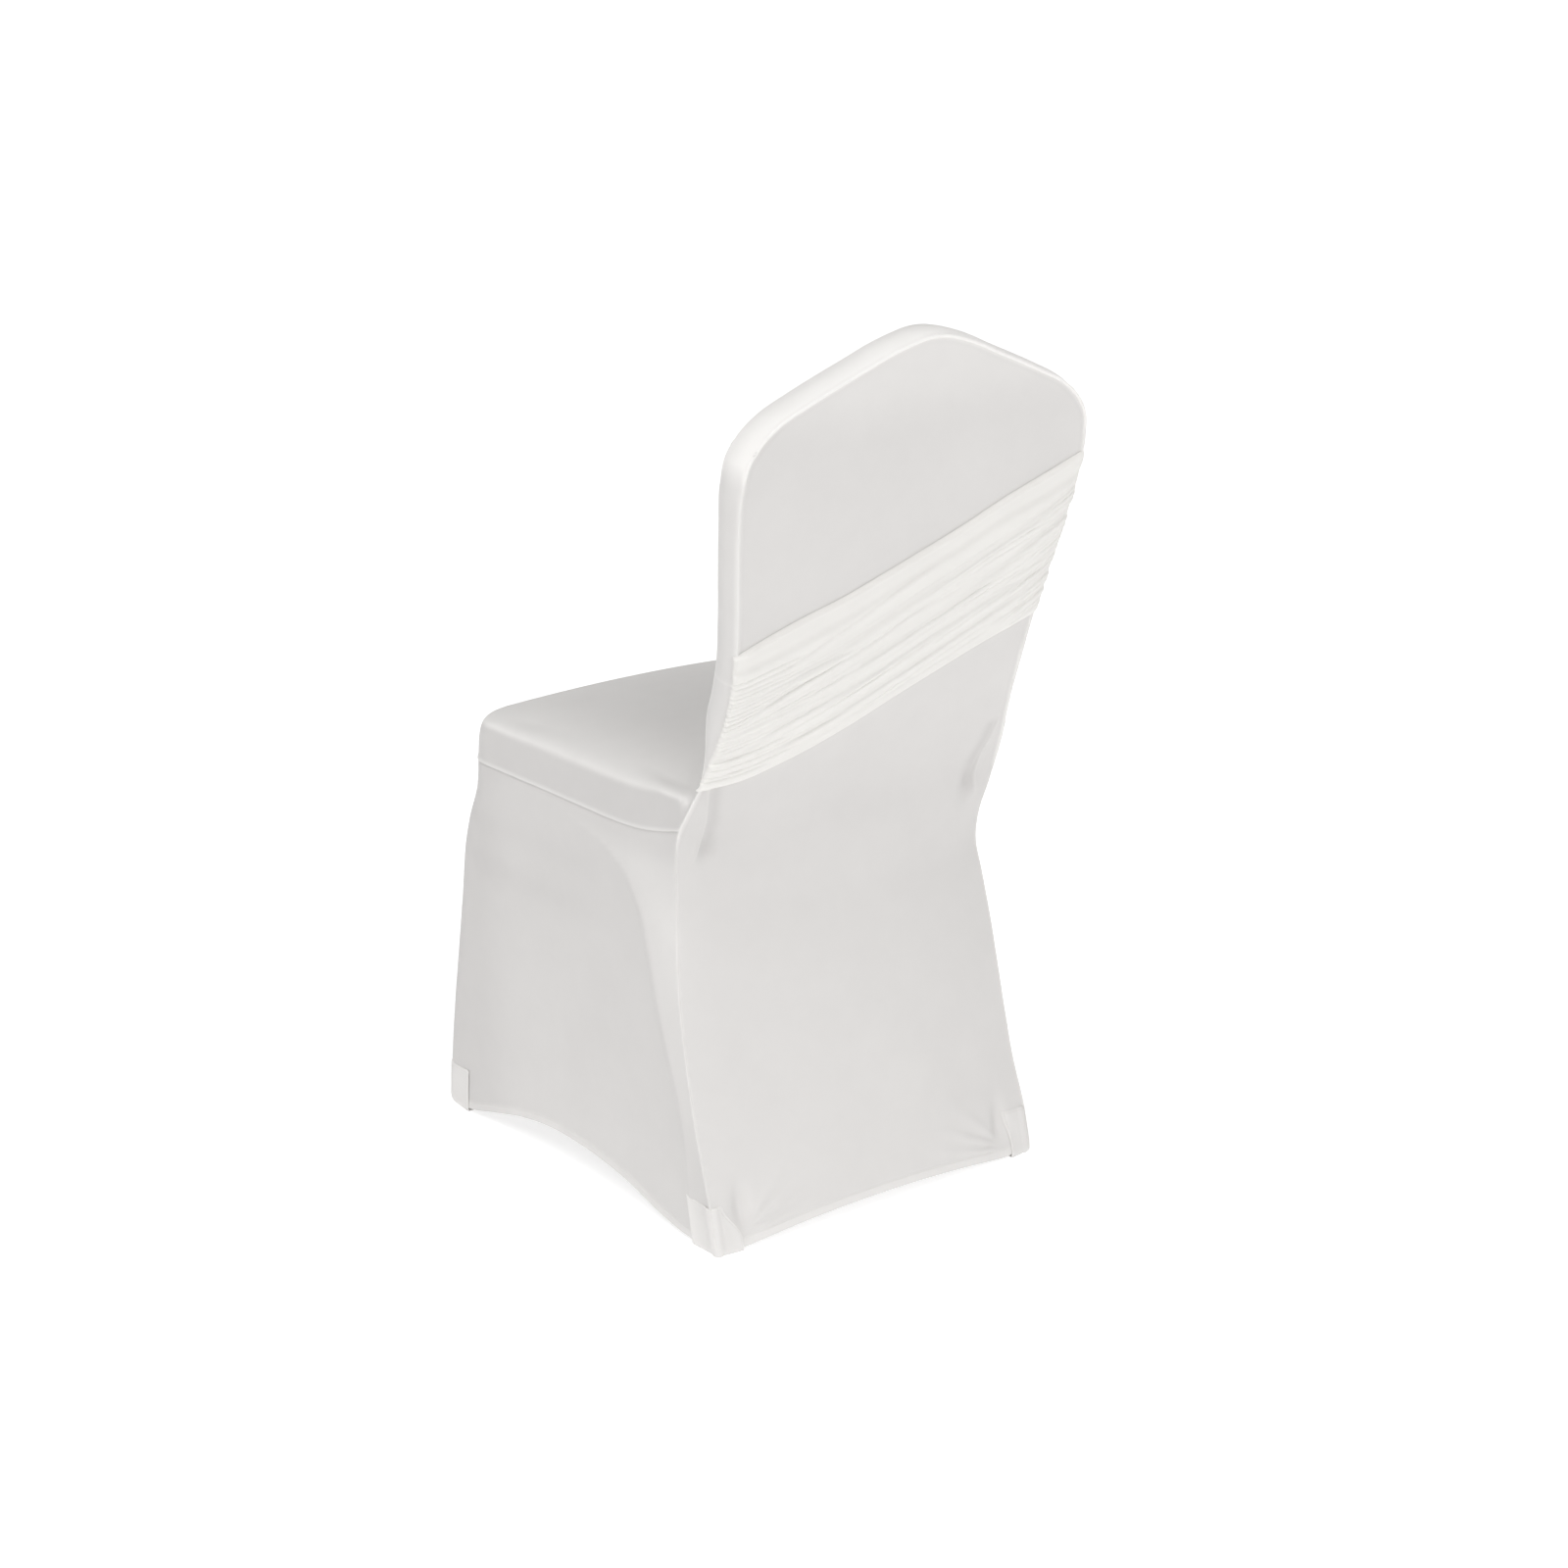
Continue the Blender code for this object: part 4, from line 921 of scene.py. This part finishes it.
# Each crease: depth, half width as a share of the band's, then its way from the left end (0) to
# the right one (1) with the height there, as a share of the band's width from its lower edge
CREASES = (
    (0.0026, 0.031, (
        (-0.1, 0.885), (0.0, 0.875), (0.1, 0.854), (0.3, 0.857), (0.6, 0.869), (0.8, 0.868),
        (0.9, 0.860), (1.1, 0.872),
    )),
    (0.0016, 0.016, (
        (0.10, 0.715), (0.20, 0.742), (0.31, 0.788), (0.39, 0.805), (0.47, 0.835), (0.60, 0.862),
    )),
    (0.0026, 0.031, (
        (0.16, 0.630), (0.23, 0.640), (0.35, 0.668), (0.45, 0.684), (0.65, 0.695), (0.85, 0.710),
        (0.95, 0.762), (1.1, 0.850),
    )),
    (0.0010, 0.016, ((0.30, 0.555), (0.45, 0.572), (0.55, 0.583), (0.72, 0.565))),
    (0.0026, 0.034, (
        (0.36, 0.462), (0.50, 0.456), (0.70, 0.464), (0.78, 0.492), (0.88, 0.565), (0.95, 0.610),
        (1.1, 0.680),
    )),
    (0.0016, 0.013, ((-0.1, 0.370), (0.0, 0.382), (0.10, 0.403), (0.16, 0.406), (0.30, 0.404))),
    (0.0025, 0.026, (
        (-0.1, 0.250), (0.0, 0.236), (0.06, 0.226), (0.13, 0.279), (0.20, 0.325), (0.30, 0.338),
        (0.50, 0.322), (0.70, 0.329), (1.0, 0.332),
    )),
    (0.0013, 0.010, ((0.11, 0.218), (0.20, 0.245), (0.30, 0.270), (0.40, 0.277), (0.52, 0.276))),
    (0.0021, 0.026, (
        (0.13, 0.120), (0.26, 0.164), (0.40, 0.195), (0.60, 0.195), (0.80, 0.211), (0.90, 0.242),
        (1.1, 0.340),
    )),
    (0.0013, 0.016, ((0.78, 0.120), (0.85, 0.131), (0.95, 0.154), (1.1, 0.240))),
    (0.0010, 0.011, ((0.60, 0.268), (0.70, 0.274), (0.80, 0.291), (0.93, 0.318))),
    (0.0010, 0.011, ((0.74, 0.385), (0.80, 0.362), (0.90, 0.336))),
    (0.0016, 0.010, ((-0.1, 0.420), (0.0, 0.440), (0.11, 0.507), (0.22, 0.565))),
    (0.0010, 0.010, ((-0.02, 0.130), (0.04, 0.123), (0.08, 0.100), (0.14, 0.135))),
)
# Heights of the short gathers at the left seam, and how far each one rises over the band's length
LEFT_GATHERS = (
    (0.785, -0.20), (0.745, -0.20), (0.705, -0.22), (0.672, -0.15), (0.640, -0.10), (0.612, 0.05),
    (0.586, 0.10), (0.548, 0.20), (0.513, 0.30), (0.475, 0.50), (0.418, 0.30), (0.398, 0.25),
    (0.352, 0.15), (0.325, 0.25), (0.296, 0.35), (0.268, 0.30), (0.200, 0.20), (0.172, 0.10),
    (0.150, 0.05), (0.095, 0.10), (0.066, 0.10),
)
BAND_THIN_AND_SHADED, BAND_DOUBLED_AND_LIT = (0.62, 0.605, 0.585, 1), (0.90, 0.885, 0.855, 1)
band_cloth = knit_material("white_band_knit", BAND_THIN_AND_SHADED, BAND_DOUBLED_AND_LIT, 0.006, 0.20, KNIT_DEPTH)
BAND_ROWS, RIGHT_GATHERS, MIDDLE_LINES = 390, 22, 34
BAND_ROLL, BAND_OVERHANG, BAND_BURIED = 0.0026, 0.0014, 0.0003
BAND_LOFT, BAND_WIDTH, DEEPEST_FOLD = 0.0036, 0.16, 0.0019
run_in = steps(0, (0.03, 0.0020), (0.12, 0.0060), (0.88, 0.0125), (0.97, 0.0060), (1.0, 0.0020))
across = np.linspace(0, 1, BAND_ROWS)[:, None]
reach = 1 - 2 * run_in[None, :]
x = reach * 0.20 + 0 * across
for _ in range(8):
    high, low = column(BAND_EDGES, 1, x), column(BAND_EDGES, 2, x)
    z = low + (high - low) * across
    x = reach * (column(REAR_SEAM, 1, z) + BAND_OVERHANG)


def crease(depth, wide, line):
    """A soft furrow along a line on the band, with a lower swelling under it and ends that fade.

    depth * (-bump(d / wide) + 0.45 bump(d / (1.5 wide) + 1.4)), d being the height over the line.
    """
    line = np.array(line)
    off = across - curve(run_in, line[:, 0], line[:, 1])[None]
    fade = ease((run_in - line[0, 0]) / 0.07) * ease((line[-1, 0] - run_in) / 0.07)
    return depth * fade * (0.45 * bump(off / (1.5 * wide) + 1.4) - bump(off / wide))


fold = sum(crease(*row) for row in CREASES)
chance = np.random.default_rng(11)
for height, rise in LEFT_GATHERS:
    length = chance.uniform(0.20, 0.42)
    line = ((-0.1, height - 0.1 * rise), (0, height), (length, height + length * rise * 0.6))
    fold = fold + crease(chance.uniform(0.0013, 0.0021), chance.uniform(0.0095, 0.0125), line)
for k in range(RIGHT_GATHERS):
    height, length = 0.05 + 0.037 * (k + chance.uniform(-0.3, 0.3)), chance.uniform(0.10, 0.22)
    line = ((1 - length, height - length * 0.5), (1, height), (1.1, height + 0.06))
    fold = fold + crease(chance.uniform(0.0009, 0.0015), chance.uniform(0.008, 0.011), line)
for _ in range(MIDDLE_LINES):
    start, length = chance.uniform(0.05, 0.70), chance.uniform(0.20, 0.50)
    height, rise = chance.uniform(0.06, 0.78), chance.uniform(0.00, 0.14)
    line = ((start, height), (start + length, height + length * rise))
    fold = fold + crease(chance.uniform(0.0004, 0.0009), chance.uniform(0.008, 0.013), line)
fold = DEEPEST_FOLD * np.tanh(0.82 * fold / DEEPEST_FOLD)
rim_off = np.minimum(across, 1 - across) * BAND_WIDTH
sewn = column(REAR_SEAM, 1, z) + BAND_OVERHANG - np.abs(x)
pad = BAND_LOFT * (0.30 + 0.70 * ease(sewn / 0.014))
off_back = (CLOTH + np.maximum(pad + fold, 0)) * ease((rim_off + 0.0003) / 0.0060)
roll_off = BAND_ROLL * (np.sqrt(1 - np.clip(1 - sewn / BAND_ROLL, 0, 1) ** 2) - 1)
y = outer_back_y(x, z) - BAND_BURIED + off_back + roll_off
band = np.stack([x, y, z], axis=-1)[:, ::-1]
# Painted shade in the furrow of each crease and painted light on the swelling under it; a lighter strip
# runs just inside each long edge.
shade = 0.62 + 42 * fold + 0.12 * bump((rim_off - 0.0035) / 0.0020)
from_end, along_end = from_line(band, band[:, 0])
sew_piece(
    "ruched_band_knit",
    band,
    band_cloth,
    "ruched_band",
    np.clip(shade, 0, 1)[:, ::-1],
    (along_end, from_end + NO_STITCHES),
)

# Each foot stands in a pocket: a doubled patch of the knit round the corner of the hem, folded
# under the foot, so it looks whiter than the cloth above it. Its top edge is turned in.
PATCH_TOP, PATCH_OFF, PATCH_TUCK, PATCH_TUCK_HEIGHT, PATCH_LIFT = 0.050, 0.0007, 0.0045, 0.010, 0.005
REAR_PATCH_SIDE, REAR_PATCH_CORNER = 0.044, 0.010
# How far each rear patch reaches over the outer back at its foot, and how much less at its top
REAR_PATCH_BACKS = {"left": (0.034, 0.020), "right": (0.027, -0.004)}
FRONT_PATCH_SIDE, FRONT_PATCH_ACROSS = 0.050, 0.040
# Rows of the patch's floor, as shares of the way from its inner corner out to its walls
FLOOR_ROWS = np.array([0.985, 0.93, 0.8, 0.6, 0.4, 0.22])[:, None, None]


def stand_off(z, ends):
    """How far a patch stands off the cloth: little at its edges, and drawn in under the toe."""
    down = np.clip(1 - z / PATCH_TUCK_HEIGHT, 0, 1)
    lap = ease((1 - ends) / 0.06) * ease((PATCH_TOP - z) / 0.0025)
    return 0.0003 + PATCH_OFF * lap - PATCH_TUCK * (1 - np.sqrt(1 - down**2)) * (1 - ends)


def lift_end(net, ends):
    """The patch with its lower rows raised towards its ends by a soft step, less so higher up."""
    rise = ease((ends - 0.6) / 0.4) * (1 - net[..., 2] / PATCH_TOP)
    return net + np.array([0, 0, PATCH_LIFT]) * rise[..., None]


def rear_patch(z, wide, slant):
    """Points round a rear corner at each height: along the side, a small round, along the back."""
    x0, y0, radius = column(REAR_SEAM, 1, z), column(REAR_SEAM, 2, z), REAR_PATCH_CORNER
    turn = np.linspace(0, np.pi / 2, 9)
    along = (radius + (REAR_PATCH_SIDE - radius) * np.linspace(1, 0, 24) ** 0.6)[:-1]
    span = wide - slant * ease((z - PATCH_TUCK_HEIGHT) / (PATCH_TOP - PATCH_TUCK_HEIGHT))
    across = radius + (span - radius) * np.linspace(0, 1, 22)[1:] ** 0.6
    _, side_end = wrap_section(np.full_like(z, SIDE_ENDS), z)
    side_x, _ = wrap_section(SIDE_ENDS * along / (y0 - side_end), z + 0 * along)
    x = np.concatenate([side_x, x0 - radius + radius * np.cos(turn), x0 - across], axis=1)
    back_y = outer_back_y(x0 - across, z + 0 * across)
    y = np.concatenate([y0 - along, y0 - radius + radius * np.sin(turn), back_y], axis=1)
    nx = np.concatenate([1 + 0 * along, np.cos(turn), 0 * across[0]])
    ny = np.concatenate([0 * along, np.sin(turn), 1 + 0 * across[0]])
    ends = np.concatenate([along / REAR_PATCH_SIDE, 0 * turn, across[-1] / across[-1].max()])
    grow = stand_off(z, ends) + 0.62 * radius * nx * ny
    return lift_end(np.stack([x + nx * grow, y + ny * grow, z + 0 * x], axis=-1), ends)


def front_patch(z):
    """Points round a front corner at each height: across the front, a quarter round, the side."""
    wide, deep, radius = (column(FRONT_CORNER, k, z) for k in (1, 2, 3))
    turn = np.linspace(0, np.pi / 2, 12)
    share = np.linspace(0, 1, 18)
    along = radius + (FRONT_PATCH_SIDE - radius) * share[1:]
    across = FRONT_PATCH_ACROSS + (radius - FRONT_PATCH_ACROSS) * share[:-1]
    x = np.concatenate([wide - across, wide - radius + radius * np.sin(turn), wide + 0 * along], axis=1)
    y = np.concatenate([0 * across, radius - radius * np.cos(turn), along], axis=1) - deep
    nx = np.concatenate([0 * share[:-1], np.sin(turn), 1 + 0 * share[1:]])
    ny = np.concatenate([-1 + 0 * share[:-1], -np.cos(turn), 0 * share[1:]])
    ends = np.concatenate([1 - share[:-1], 0 * turn, share[1:]])
    grow = stand_off(z, ends)
    return lift_end(np.stack([x + nx * grow, y + ny * grow, z + 0 * x], axis=-1), ends)


pocket_cloth = knit_material("white_pocket_knit", COVER_THIN_AND_SHADED, COVER_DOUBLED_AND_LIT, 0.0030, 0.15, KNIT_DEPTH)
patch_levels = steps(0.0008, (0.016, 0.0012), (0.046, 0.002), (PATCH_TOP, 0.0006))[::-1, None]
for corner, side in (("rear", "left"), ("rear", "right"), ("front", "left"), ("front", "right")):
    if corner == "rear":
        walls = rear_patch(patch_levels, *REAR_PATCH_BACKS[side])
        heel = walls[-1, -1] * (1, 0, 0) + walls[-1, 0] * (0, 1, 0)
    else:
        walls = front_patch(patch_levels)
        heel = walls[-1, 0] * (1, 0, 0) + walls[-1, -1] * (0, 1, 0)
    under = heel + (walls[-1] - heel) * FLOOR_ROWS
    under[..., 2] = 0.0
    patch = np.concatenate([walls, under])[::-1]
    to_top, along_top = from_line(patch, patch[-1])
    first, last = patch[len(FLOOR_ROWS) :, 0], patch[len(FLOOR_ROWS) :, -1]
    to_ends = np.minimum(from_line(patch, first)[0], from_line(patch, last)[0])
    to_edge = np.minimum(to_top, to_ends)
    shade = 0.44 + 0.06 * bump((to_edge - 0.0016) / 0.002)
    if corner == "rear":
        shade = shade + 0.24 * ease(1.1 - 2 * np.linspace(0, 1, shade.shape[1]))
    if side == "right":
        patch, shade = patch[:, ::-1] * (-1, 1, 1), shade[:, ::-1]
        along_top, to_edge = along_top[:, ::-1], to_edge[:, ::-1]
    sew_piece(
        f"pocket_{corner}_{side}",
        patch,
        pocket_cloth,
        f"foot_pocket_{corner}_{side}",
        shade,
        (along_top, to_edge),
    )
